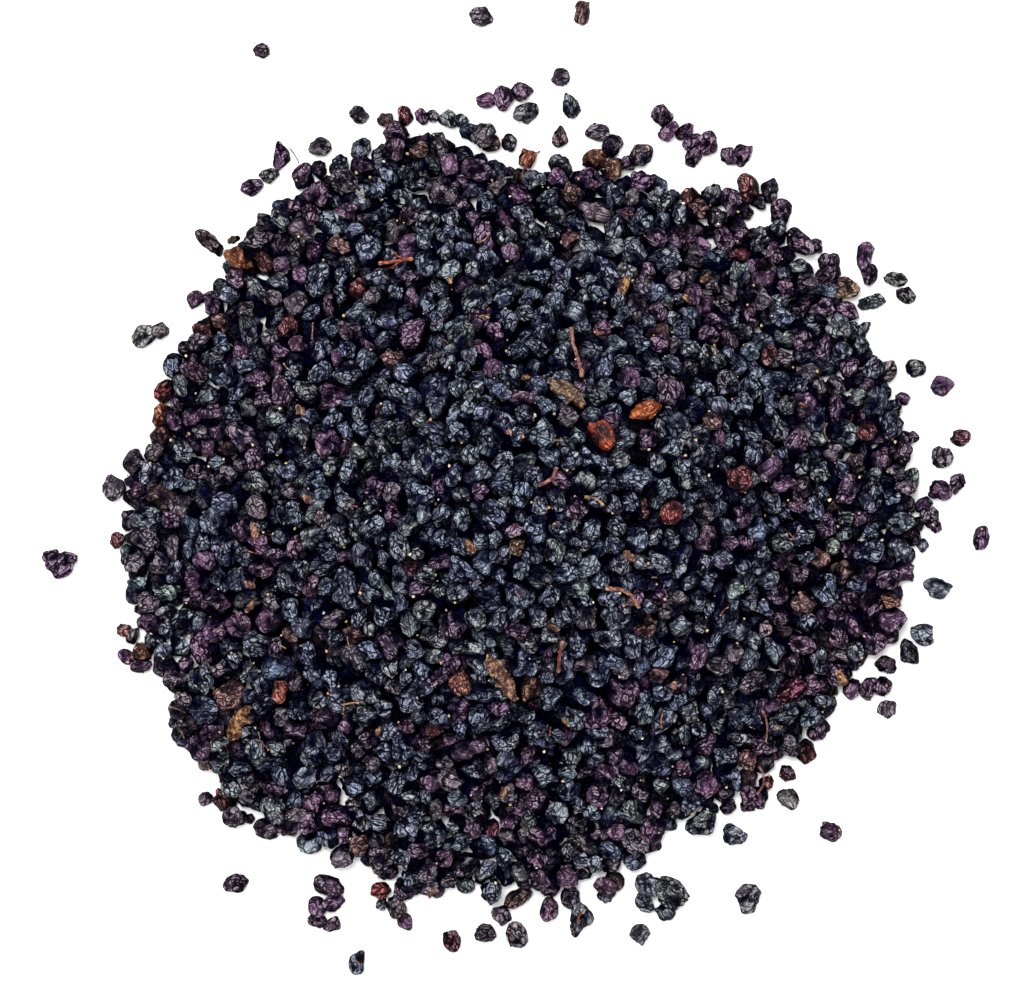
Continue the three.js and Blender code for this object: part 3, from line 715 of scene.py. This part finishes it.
class Shader:
    """A material whose nodes are added one by one."""

    def __init__(self, name, specular):
        self.material = bpy.data.materials.new(name)
        self.material.use_nodes = True
        self.tree = self.material.node_tree
        self.surface = self.tree.nodes["Principled BSDF"]
        self.surface.inputs["Specular IOR Level"].default_value = specular

    def node(self, kind, inputs, output=0, **settings):
        new = self.tree.nodes.new(kind)
        for key, value in settings.items():
            setattr(new, key, value)
        for key, value in inputs.items():
            if isinstance(value, bpy.types.NodeSocket):
                self.tree.links.new(value, new.inputs[key])
            else:
                new.inputs[key].default_value = value
        return new.outputs[output]

    def attributes(self):
        """What describe gave every corner: its place, tint, fold and painted light and shade."""
        outputs = {"skin_place": "Vector", "skin_tint": "Color", "skin_fold": "Fac", "skin_painted_light": "Fac"}
        for name, output in outputs.items():
            yield self.node("ShaderNodeAttribute", {}, output, attribute_name=name)

    def math(self, operation, a, b=0.0, clamp=False):
        return self.node("ShaderNodeMath", {0: a, 1: b}, operation=operation, use_clamp=clamp)

    def times(self, a, b, clamp=False):
        return self.math("MULTIPLY", a, b, clamp)

    def greater(self, a, b):
        return self.math("MAXIMUM", a, b)

    def vector(self, operation, *values):
        return self.node("ShaderNodeVectorMath", dict(enumerate(values)), operation=operation)

    def ramp(self, value, start, end, least=0.0, most=1.0):
        """least to most as the value goes from start to end."""
        ends = {"Value": value, "From Min": start, "From Max": end, "To Min": least, "To Max": most}
        return self.node("ShaderNodeMapRange", ends, interpolation_type="SMOOTHSTEP")

    def noise(self, place, scale, detail=1.0, roughness=0.5, output="Fac"):
        inputs = {"Vector": place, "Scale": scale, "Detail": detail, "Roughness": roughness}
        return self.node("ShaderNodeTexNoise", inputs, output)

    def cells(self, place, scale, feature, output):
        inputs = {"Vector": place, "Scale": scale}
        return self.node("ShaderNodeTexVoronoi", inputs, output, feature=feature)

    def line(self, value, level, half_width):
        """1 where the value crosses a level, down to 0 that far from it."""
        off = self.math("ABSOLUTE", self.math("SUBTRACT", value, level))
        return self.ramp(off, half_width, 0.0)

    def warp(self, place, scale, amount):
        """The place moved about by noise."""
        drift = self.vector("SUBTRACT", self.noise(place, scale, output="Color"), (0.5, 0.5, 0.5))
        return self.vector("MULTIPLY_ADD", drift, (amount, amount, amount), place)

    def total(self, *terms):
        """The sum of the values, each times its weight."""
        result = 0.0
        for value, weight in terms:
            inputs = {0: value, 1: weight, 2: result}
            result = self.node("ShaderNodeMath", inputs, operation="MULTIPLY_ADD")
        return result

    def blend(self, share, a, b, blend_type="MIX"):
        """One colour to the other as the share goes from 0 to 1."""
        a, b = (v if isinstance(v, bpy.types.NodeSocket) else (*v, 1) for v in (a, b))
        settings = {"data_type": "RGBA", "blend_type": blend_type}
        return self.node("ShaderNodeMix", {0: share, 6: a, 7: b}, 2, **settings)

    def finish(self, colour, roughness, height):
        """Links the colour, the roughness and a bump whose height is in millimetres."""
        bump = self.node("ShaderNodeBump", {"Height": height, "Distance": MM, "Strength": 1.0})
        self.tree.links.new(colour, self.surface.inputs["Base Color"])
        self.tree.links.new(roughness, self.surface.inputs["Roughness"])
        self.tree.links.new(bump, self.surface.inputs["Normal"])
        return self.material


PAINTED_SHADE_COLOUR = (0.0, 0.0, 0.07)  # what painted shade leaves of a colour in the deepest gap, a navy tint
PURPLE_BLUSH = (112, 66, 108)
BLUE_BLUSH = (70, 84, 142)
# the painted shade in creases, near black
CREASE_SHADE_COLOUR = (3, 2, 9)
PALENESS = 0.72  # how far ridges go to the pale colour of bloom and painted highlight
PLATES_PER_MM = 0.68
LENGTHWISE = 0.6  # how close the wrinkles lie along a berry, over across it
CALM_PER_MM = 0.12  # so that each berry is about as smooth all over
IN_HOLLOW = 0.5  # the level of a noise where its creases run
ON_RIDGE = 0.61  # and its ridges

# dark is bare skin as a share of the tint, which also stands for painted shade in hollows, pale
# the colour of bloom and painted highlight towards which ridges go, crease how dark the painted
# shade in its creases is, and calm how far the smoothest berries keep them.
Skin = namedtuple("Skin", "dark pale crease calm roughness specular")
RIPE = Skin((0.055, 0.05, 0.15), (212, 220, 230), 0.98, 0.86, (0.36, 0.62), 0.02)
MATTE = Skin((0.12, 0.085, 0.15), (202, 190, 202), 0.97, 0.76, (0.4, 0.65), 0.02)
RUDDY = Skin((0.16, 0.1, 0.12), (220, 180, 170), 0.95, 0.75, (0.36, 0.6), 0.04)
UNRIPE = Skin((0.34, 0.2, 0.21), (236, 184, 164), 0.92, 0.7, (0.36, 0.6), 0.06)
GLOSSY = Skin((0.72, 0.5, 0.42), (244, 150, 92), 0.75, 0.9, (0.26, 0.45), 0.2)


def skin_material(name, kind):
    """The skin of dried berries: dark, with a pale bloom on its plates, paler ridges of bloom and
    painted highlight, and painted shade in its creases, hollows and gaps.
    """
    s = Shader(name, kind.specular)
    place, tint, fold, light = s.attributes()
    along = s.vector("MULTIPLY", place, (LENGTHWISE, 1.0, 1.0))
    warped = s.warp(along, 0.7, 1.7)

    # Creases part the skin into plates, and long ones wander over it.
    parting = s.cells(warped, PLATES_PER_MM, "DISTANCE_TO_EDGE", "Distance")
    plate = s.cells(warped, PLATES_PER_MM, "F1", "Color")
    swell = s.noise(warped, 0.8)
    small = s.noise(s.warp(along, 1.6, 0.7), 1.8, detail=0.6)
    crease = s.greater(s.ramp(parting, 0.105, 0.04), s.line(swell, IN_HOLLOW, 0.06))
    crease = s.greater(crease, s.times(s.line(small, IN_HOLLOW, 0.065), 0.85))
    ridge = s.greater(s.line(parting, 0.16, 0.055), s.line(swell, ON_RIDGE, 0.04))
    ridge = s.greater(ridge, s.times(s.line(small, ON_RIDGE, 0.045), 0.8))
    ridge = s.times(ridge, s.math("SUBTRACT", 1.0, crease))
    wrinkled = s.ramp(s.noise(place, CALM_PER_MM), 0.38, 0.5, kind.calm, 1.0)
    crease = s.times(crease, wrinkled)
    ridge = s.times(ridge, wrinkled)
    fine = s.noise(place, 3.2, detail=2.0, roughness=0.6)
    patch = s.noise(place, 0.42, detail=1.5)

    # The skin is dark, with a pale bloom in patches, and painted shade keeps the hollows between its
    # ridges darker than its crests.
    bloom_and_painted_light = s.total((s.ramp(fold, 0.0, 0.5), 0.4), (s.ramp(patch, 0.38, 0.5), 0.7))
    bloom_and_painted_light = s.times(bloom_and_painted_light, s.ramp(plate, 0.3, 0.6, 0.4, 1.2), clamp=True)
    bloom_and_painted_light = s.times(bloom_and_painted_light, s.ramp(fine, 0.34, 0.56, 0.5, 1.0), clamp=True)
    if kind is RIPE:
        for blush, scale, start in ((PURPLE_BLUSH, 0.45, 0.52), (BLUE_BLUSH, 0.6, 0.54)):
            here = s.ramp(s.noise(place, scale), start, 0.66, 0.0, 0.5)
            tint = s.blend(here, tint, paint(blush))
    colour = s.blend(bloom_and_painted_light, s.blend(1.0, tint, kind.dark, "MULTIPLY"), tint)
    pale = s.blend(PALENESS, tint, paint(kind.pale))
    # The ridges go pale: partly bloom, partly a painted highlight.
    bloom_and_painted_highlight = s.times(ridge, s.ramp(patch, 0.32, 0.54, 0.3, 1.0))
    colour = s.blend(bloom_and_painted_highlight, colour, pale)
    # Painted shade: the creases go near black.
    colour = s.blend(s.times(crease, kind.crease), colour, paint(CREASE_SHADE_COLOUR))
    # Painted shade: darker where a corner sees less sky, towards navy in the deepest gaps.
    colour = s.blend(1.0, colour, s.blend(light, PAINTED_SHADE_COLOUR, (1, 1, 1)), "MULTIPLY")
    rough = s.ramp(fine, 0.3, 0.7, *kind.roughness)
    height = s.total((swell, 0.8), (small, 0.3), (fine, 0.06))
    return s.finish(colour, rough, height)


HOLE_COLOUR = (56, 18, 16)


def scrap_material(name, end, deep, ribs_per_mm, holes):
    """Dry stalk or husk: fibres along it, paler at its ends, with dark blotches and holes, and painted
    shade where it sees less sky.
    """
    s = Shader(name, specular=0.25)
    place, colour, share, light = s.attributes()
    long = s.vector("MULTIPLY", s.warp(place, 0.7, 0.8), (0.3, 1.0, 1.0))
    fibres = s.noise(long, 4.5, detail=2.0)
    ribs = s.noise(long, ribs_per_mm, detail=0.5)
    blotch = s.noise(place, 0.9, detail=2.0, roughness=0.6)
    hollow = s.noise(place, 1.2, detail=2.0, roughness=0.6)
    rib = s.line(ribs, 0.5, 0.06)
    hole = s.ramp(hollow, 0.49, 0.43, 0.0, holes)
    for here, other in (
        (s.ramp(share, 0.7, 1.0, 0.0, 0.85), end),
        (s.ramp(fibres, 0.5, 0.66, 0.0, 0.5), end),
        (s.ramp(blotch, 0.5, 0.62, 0.0, 0.85), deep),
        (s.ramp(fibres, 0.48, 0.34, 0.0, 0.75), deep),
        (s.times(rib, 0.85), deep),
        (hole, HOLE_COLOUR),
    ):
        colour = s.blend(here, colour, paint(other))
    # Painted shade from the heap round it.
    colour = s.blend(1.0, colour, light, "MULTIPLY")
    rough = s.ramp(blotch, 0.3, 0.7, 0.4, 0.7)
    height = s.total((fibres, 0.14), (blotch, 0.2), (rib, -0.1), (ribs, 0.4), (hole, -0.3))
    return s.finish(colour, rough, height)


PAPER_GRAINS_PER_M = 1400
PAPER_GRAIN = 0.01  # its height
PAPER_WHITES = (0.88, 0.93)


def floor_material():
    s = Shader("white_paper", specular=0.1)
    place = s.node("ShaderNodeTexCoord", {}, "Object")
    grain = s.noise(place, PAPER_GRAINS_PER_M, detail=2.0)
    colour = s.blend(s.ramp(grain, 0.3, 0.7), *[(white,) * 3 for white in PAPER_WHITES])
    rough = s.ramp(grain, 0.3, 0.7, 0.7, 0.8)
    return s.finish(colour, rough, s.times(grain, PAPER_GRAIN))


# -------- colours of the berries

# The shares are about how many in a hundred berries: mid-heap, and at its edge.
Family = namedtuple("Family", "slot skin colour mid_share rim_share")
FAMILIES = {
    "blue_black": Family("berry_skin_dark", RIPE, (112, 124, 150), 40, 6),
    "slate": Family("berry_skin_dark", RIPE, (142, 154, 164), 33, 8),
    "green_grey": Family("berry_skin_dark", RIPE, (142, 151, 144), 17, 14),
    "charcoal": Family("berry_skin_dark", MATTE, (130, 118, 128), 2, 24),
    "plum": Family("berry_skin_purple", MATTE, (136, 97, 132), 7, 42),
    "brown": Family("berry_skin_maroon", RUDDY, (128, 98, 100), 1.5, 4),
    "red": Family("berry_skin_maroon", RUDDY, (124, 62, 74), 0.4, 1.2),
}
SHADE = (0.5, 1.4)  # of a berry's colour, as shares of its family's
HUE_JITTER = 0.04
HEAP_RADIUS = 76

# Berries that stand out by their colour: its family, the colour, and where such berries lie.
ODD_BERRIES = (
    ("red", (150, 56, 100), (
        (-11.0, -25.7), (-18.9, -8.1), (47.2, -31.5), (-3.6, -56.7), (1.3, -34.2),
    )),
    ("red", (170, 108, 112), ((23.0, 48.8), (-70.9, -21.1), (32.9, -23.4), (-64.3, 12.6))),
    ("red", (160, 48, 50), ((-64.3, 22.7), (-25.2, -67.5), (-68.8, -9.7))),
    ("red", (118, 52, 64), (
        (60.3, 14.4), (-53.3, -51.8), (44.1, -48.4), (30.8, 57.4), (51.1, -42.7), (71.6, -1.4),
        (40.9, 59.0),
    )),
    ("plum", (112, 66, 118), (
        (-69.1, 6.1), (72.9, 4.5), (22.7, 62.1), (-71.6, -25.6), (-17.1, 71.6),
    )),
    ("brown", (150, 100, 80), (
        (17.3, 60.7), (0.9, -30.2), (67.0, -15.7), (-67.9, -23.9), (13.1, 64.3),
    )),
    ("brown", (176, 144, 116), ((54.9, 0.5), (-0.5, -5.9), (59.2, 41.2))),
    ("brown", (190, 100, 50), ((-65.3, 18.5), (0.7, 64.3))),
    ("brown", (200, 150, 76), ((57.4, -31.3),)),
)
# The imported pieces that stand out.
PACKED_COLOURS = {
    "red_berry_1": (164, 42, 26),
    "red_berry_2": (182, 100, 84),
    "red_berry_3": (168, 106, 96),
    "orange_berry_1": (212, 112, 48),
    "orange_berry_2": (178, 112, 68),
    "maroon_berry_1": (128, 40, 52),
    "maroon_berry_2": (140, 66, 84),
    "stalk_1": (158, 108, 112),
    "stalk_2": (176, 60, 50),
    "stalk_3": (192, 128, 98),
    "stalk_4": (150, 70, 54),
    "stalk_5": (148, 86, 96),
    "bract_1": (152, 118, 94),
    "husk_1": (126, 110, 92),
    "husk_2": (180, 134, 84),
}
GLOSSY_BERRY = "red_berry_1"
LOOSE_FAMILIES = {
    "berry_skin_dark": ("slate", "green_grey", "charcoal", "charcoal"),
    "berry_skin_purple": ("plum",),
    "berry_skin_maroon": ("brown", "red"),
}


def in_family(berry, family):
    """The berry in its own shade of a colour family."""
    colour = paint(FAMILIES[family].colour) * between(*SHADE) * rng.normal(1, HUE_JITTER, 3)
    return berry._replace(kind=family, colour=colour)


def coloured(berry):
    """The berry in a family by its place, purple and brown ones lying mostly near the edge."""
    rim = min(np.linalg.norm(berry.middle[:2]) / HEAP_RADIUS, 1) ** 2
    shares = np.array([f.mid_share * (1 - rim) + f.rim_share * rim for f in FAMILIES.values()])
    return in_family(berry, list(FAMILIES)[rng.choice(len(shares), p=shares / shares.sum())])


# -------- the heap


def put(name, data):
    """Puts a mesh, a light or a camera into the scene."""
    new = bpy.data.objects.new(name, data)
    bpy.context.scene.collection.objects.link(new)
    return new


def piece(name, mesh, material, slot, *nodes):
    """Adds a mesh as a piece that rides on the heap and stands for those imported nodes."""
    new = put(name, mesh)
    mesh.name = name
    mesh.materials.append(material)
    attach(new, "root")
    if nodes:
        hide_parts(*nodes)


SLOTS = {row["node"]: row["material_slot"] for row in frame["record"]["subparts"]}
ON_HEAP = [n for n in SLOTS if n.startswith(("red_berry", "orange_berry", "maroon_berry"))]
LOOSE = [n for n in SLOTS if n.startswith("loose_")]
LAID = [n for n in SLOTS if n.startswith(("stalk_", "husk_", "bract_"))]
LAID_THICKNESS = 0.8  # of a stalk or a husk with the gap below it, free of berries

footprint, smooth_top = surface_of_heap()
cap = np.where(footprint, np.maximum(smooth_top + CAP_ABOVE, CAP_LEAST), CAP_LEAST)
allowed = ~widened(~footprint, EDGE_INSET)

# The cap dips under what lies on the heap.
on_heap = [berries_of(name)[0] for name in ON_HEAP]
for berry in on_heap:
    reach, lower, _ = profile(berry.halves, berry.turn)
    window = around(*cell_of(*berry.middle[:2]), reach)
    cap[window] = np.minimum(cap[window], berry.middle[2] + lower)
for name in LAID:
    window, tops = tops_of(name)
    under = np.where(tops > 0, tops - LAID_THICKNESS, np.inf)
    cap[window] = np.minimum(cap[window], under)

heap = Heap(cap, allowed)
for name in LOOSE:
    for berry in berries_of(name):
        heap.add(berry)
for x, y, turn, width, length in STRAYS:
    halves = np.array([length, width, width * RIM_HEIGHT]) / 2
    heap.lay(x, y, halves, turned(math.radians(turn)), pressed=True)
for x, y, half in rim_sites(footprint):
    heap.lay_round(x, y, half * RIM_SHRINK)
heap.lay_along(np.argwhere(allowed & widened(~allowed, 2 * CELL)))
heap.pour()
heap.fill(~widened(~footprint, GAP_INSET))
for berry in on_heap:
    heap.add(berry)

# Which berries show, and their colours.
cells_shown = np.bincount(heap.owner[heap.owner >= 0], minlength=len(heap.berries))
shown = np.flatnonzero([b.kind == "heap" for b in heap.berries] & (cells_shown >= LEAST_SHOWN))
plan = np.array([b.middle[:2] for b in heap.berries])
for index in np.flatnonzero([b.kind == "heap" for b in heap.berries]):
    heap.berries[index] = coloured(heap.berries[index])
for family, colour, places in ODD_BERRIES:
    for place in places:
        nearest = shown[np.argmin(np.linalg.norm(plan[shown] - place, axis=1))]
        heap.berries[nearest] = heap.berries[nearest]._replace(kind=family, colour=paint(colour))

families, own_pieces, plain, hidden = {}, {}, [], []
for index, berry in enumerate(heap.berries):
    if berry.kind not in FAMILIES:
        own_pieces.setdefault(berry.kind, []).append(berry)
    elif cells_shown[index] >= LEAST_SHOWN:
        families.setdefault(berry.kind, []).append(berry)
    elif berry.middle[2] < FIRST_LAYER:
        plain.append(berry)
    else:
        hidden.append(berry)

KINDS = {"dried": RIPE, "matte": MATTE, "ruddy": RUDDY, "unripe": UNRIPE, "glossy": GLOSSY}
skins = {kind: skin_material(f"{name}_skin", kind) for name, kind in KINDS.items()}
replaced = ["berry_heap"]  # the first piece stands for it
for family, berries in families.items():
    for part, start in enumerate(range(0, len(berries), BERRIES_A_PIECE), 1):
        name = f"berries_{family}_{part}"
        mesh = berry_mesh(berries[start : start + BERRIES_A_PIECE], FINE_CORNERS, FINE_LEAN)
        own = FAMILIES[family]
        piece(name, mesh, skins[own.skin], own.slot, *replaced)
        replaced = []
for name, berries, corners in (
    ("berries_underneath", plain, PLAIN_CORNERS),
    ("berries_inside", hidden, HIDDEN_CORNERS),
):
    piece(name, berry_mesh(berries, corners, 1.0), skins[RIPE], "berry_skin_dark")

for name, berries in own_pieces.items():
    if name in PACKED_COLOURS:
        kind = GLOSSY if name == GLOSSY_BERRY else UNRIPE
        berries = [b._replace(colour=paint(PACKED_COLOURS[name])) for b in berries]
    else:
        kind = MATTE
        berries = [in_family(b, rng.choice(LOOSE_FAMILIES[SLOTS[name]])) for b in berries]
    mesh = berry_mesh(berries, FINE_CORNERS, FINE_LEAN)
    piece(f"{name}_skin", mesh, skins[kind], SLOTS[name], name)

# -------- what lies among the berries

stalk_skin = scrap_material("dry_stalk", (232, 188, 140), (96, 36, 40), ribs_per_mm=2.5, holes=0.3)
husk_skin = scrap_material("dry_husk", (226, 180, 122), (84, 44, 40), ribs_per_mm=1.1, holes=0.95)
speck_skin = scrap_material("stalk_end", (255, 250, 232), (236, 190, 132), ribs_per_mm=3.0, holes=0.0)

for name in LAID:
    if name.startswith("stalk"):
        skin, scrap = stalk_skin, finer(name, cuts=3, crumple=0.1, ragged=0.0)
    else:
        skin, scrap = husk_skin, finer(name, cuts=4, crumple=0.6, ragged=1.0)
    mesh = scrap_mesh([scrap], [paint(PACKED_COLOURS[name])])
    piece(f"{name}_fine", mesh, skin, SLOTS[name], name)

SCRAP_COLOURS = {
    "mauve": (150, 92, 98),
    "red": (158, 62, 54),
    "tan": (192, 148, 108),
    "gold": (208, 168, 120),
    "grey": (128, 108, 104),
    "brown": (120, 84, 66),
}
# Where each lies, from end to end, its bow as a share of its length, half its width, its colour.
STALK_SCRAPS = (
    ((11.2, 3.2), (14.4, 1.8), 0.15, 0.26, "gold"),
    ((-31.5, -33.7), (-28.6, -33.3), 0.03, 0.2, "tan"),
    ((-31.4, -33.6), (-31.6, -35.4), 0.05, 0.2, "tan"),
    ((43.4, -35.0), (43.8, -40.6), 0.1, 0.2, "mauve"),
    ((42.8, -45.0), (42.4, -50.0), 0.22, 0.25, "mauve"),
    ((-41.4, 65.9), (-39.8, 63.3), 0.05, 0.12, "grey"),
    ((3.5, 65.4), (0.3, 60.0), -0.14, 0.16, "mauve"),
    ((-26.4, -63.6), (-25.4, -65.0), 0.5, 0.16, "grey"),
    ((-20.4, 45.8), (-22.8, 46.9), 0.1, 0.22, "red"),
    ((-21.6, 45.2), (-23.8, 44.0), 0.1, 0.2, "red"),
    ((34.5, 30.2), (34.7, 28.6), 0.0, 0.24, "gold"),
    ((18.0, -16.0), (20.6, -15.8), 0.1, 0.18, "mauve"),
    ((-7.2, 35.1), (-5.6, 34.9), 0.2, 0.2, "gold"),
    ((5.8, 13.2), (7.5, 13.1), 0.0, 0.2, "gold"),
)
MORE_SCRAPS = 46
MORE_SCRAP_LENGTH = (0.8, 3.2)
MORE_SCRAP_START = (0.2, 0.8)  # how far back from a berry's middle, over its length
MORE_SCRAP_BEND = 0.22
MORE_SCRAP_HALF = (0.1, 0.18)


def some_berries(count):
    return [heap.berries[index] for index in rng.choice(shown, count, replace=False)]


scraps = []
colours = []
for start, end, bend, half, colour in STALK_SCRAPS:
    scraps.append(stalk(start, end, bend, half))
    colours.append(paint(SCRAP_COLOURS[colour]))
for berry in some_berries(MORE_SCRAPS):
    heading = between(0, math.tau)
    run = between(*MORE_SCRAP_LENGTH) * np.array([math.cos(heading), math.sin(heading)])
    start = berry.middle[:2] - run * between(*MORE_SCRAP_START)
    half = between(*MORE_SCRAP_HALF)
    bend = between(-MORE_SCRAP_BEND, MORE_SCRAP_BEND)
    scraps.append(stalk(start, start + run, bend, half))
    colours.append(paint(SCRAP_COLOURS[rng.choice(list(SCRAP_COLOURS))]))
piece("stalk_scraps", scrap_mesh(scraps, colours), stalk_skin, "stalk_wood")

FLAKE_COLOURS = ((156, 106, 100), (150, 120, 92), (120, 92, 78), (184, 140, 92))
# Where each flake's middle lies, its turn in degrees, its length and width.
FLAKES = (
    (-0.9, 14.2, -20, 3.3, 1.5),
    (-48.1, -16.2, 50, 3.0, 1.3),
    (-48.1, -12.4, -30, 2.4, 1.2),
    (-51.5, 49.5, 20, 2.6, 1.4),
    (14.0, 32.6, 10, 2.2, 1.3),
)
MORE_FLAKES = 20
MORE_FLAKE_LENGTH = (1.6, 3.6)
FLAKE_WIDTH = (0.35, 0.6)  # over its length
FLAKE_LIFT = 0.15
FLAKE_ASIDE = 0.8  # from a berry's middle
FLAKE_TILT = 0.25  # radians

places = list(FLAKES)
for berry in some_berries(MORE_FLAKES):
    length = between(*MORE_FLAKE_LENGTH)
    spot = berry.middle[:2] + rng.normal(0, FLAKE_ASIDE, 2)
    places.append((*spot, between(0, 360), length, length * between(*FLAKE_WIDTH)))
scraps = []
for x, y, turn, length, width in places:
    height = heap.top[around(*cell_of(x, y), 2)].max() + FLAKE_LIFT
    lie = turned(math.radians(turn), *rng.normal(0, FLAKE_TILT, 2))
    scraps.append(flake(np.array([x, y, height]), lie, length, width))
colours = [paint(rng.choice(FLAKE_COLOURS)) for _ in scraps]
piece("husk_flakes", scrap_mesh(scraps, colours), husk_skin, "husk")

SPECK_SHARE = 0.8  # of the berries that show
SPECK_CORNERS = 14
SPECK_HALF = (0.15, 0.36)
SPECK_LUMPS = (0.6, 1.3)
SPECK_ASIDE = 0.5  # from the very end of a berry, over its half length
SPECK_SHADE = (0.8, 1.6)
# the least painted light on a speck
SPECK_LIGHT = 0.95
SPECK_COLOURS = ((255, 250, 232), (255, 240, 206), (248, 214, 150), (232, 150, 104), (226, 206, 190))
SPECK_SUNK = 0.5  # deeper than this under the surface, none shows


def speck(berry):
    """The pale end of a stalk on a berry, at one of its ends."""
    own = np.array([rng.choice((-1, 1)), *rng.normal(0, SPECK_ASIDE, 2)])
    spot = berry.middle + berry.turn @ (unit(own) * berry.halves)
    directions, triangles = ball(SPECK_CORNERS, 1.0)
    corners = directions * between(*SPECK_HALF) * between(*SPECK_LUMPS, (SPECK_CORNERS, 1))
    return Scrap(corners + spot, triangles, corners, np.zeros(SPECK_CORNERS)), spot


scraps = []
for index in shown[rng.random(len(shown)) < SPECK_SHARE]:
    scrap, spot = speck(heap.berries[index])
    if spot[2] > heap.top[cell_of(*spot[:2])] - SPECK_SUNK:
        scraps.append(scrap)
colours = [paint(rng.choice(SPECK_COLOURS)) * between(*SPECK_SHADE) for _ in scraps]
piece("stalk_ends", scrap_mesh(scraps, colours, SPECK_LIGHT), speck_skin, "stalk_wood")

# -------- floor, lights and camera

FLOOR_HALF = 2.0
FLOOR_DROP = 0.05 * MM  # keeps the floor clear of what is flat on it
sides = ((-1, -1), (1, -1), (1, 1), (-1, 1))
corners = [(x * FLOOR_HALF, y * FLOOR_HALF, -FLOOR_DROP) for x, y in sides]
floor_mesh = bpy.data.meshes.new("floor")
floor_mesh.from_pydata(corners, [], [(0, 1, 2, 3)])
floor = put("floor", floor_mesh)
floor_mesh.materials.append(floor_material())
floor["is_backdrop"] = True

scene = bpy.context.scene
scene.view_settings.view_transform = "Standard"

world = bpy.data.worlds.new("studio")
scene.world = world
world.use_nodes = True
background = world.node_tree.nodes["Background"]
background.inputs["Color"].default_value = (1, 1, 1, 1)
background.inputs["Strength"].default_value = 0.8 * LIGHT_EXCESS

# A softbox that looks at the heap from above, a little from the left and the far side.
SOFTBOX_PLACE = Vector((-0.16, 0.26, 1.2))
light = bpy.data.lights.new("softbox_main", "AREA")
light.shape = "SQUARE"
light.size = 0.45
light.energy = 10 * LIGHT_EXCESS
lamp = put("softbox_main", light)
lamp.location = SOFTBOX_PLACE
lamp.rotation_euler = (-SOFTBOX_PLACE).to_track_quat("-Z", "Y").to_euler()

VIEW_MIDDLE = (-2.0 * MM, 2.7 * MM)
VIEW_WIDTH = 183.2 * MM
CAMERA_HEIGHT = 0.9
SENSOR_WIDTH = 36
camera_data = bpy.data.cameras.new("camera")
camera_data.sensor_width = SENSOR_WIDTH
camera_data.lens = SENSOR_WIDTH * CAMERA_HEIGHT / VIEW_WIDTH
camera_data.clip_start = 0.01
camera = put("camera", camera_data)
camera.location = (*VIEW_MIDDLE, CAMERA_HEIGHT)
scene.camera = camera

boxes = {"cad": CAD_BOX, "visual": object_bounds()}
{key: [list(corner) for corner in box] for key, box in boxes.items()}
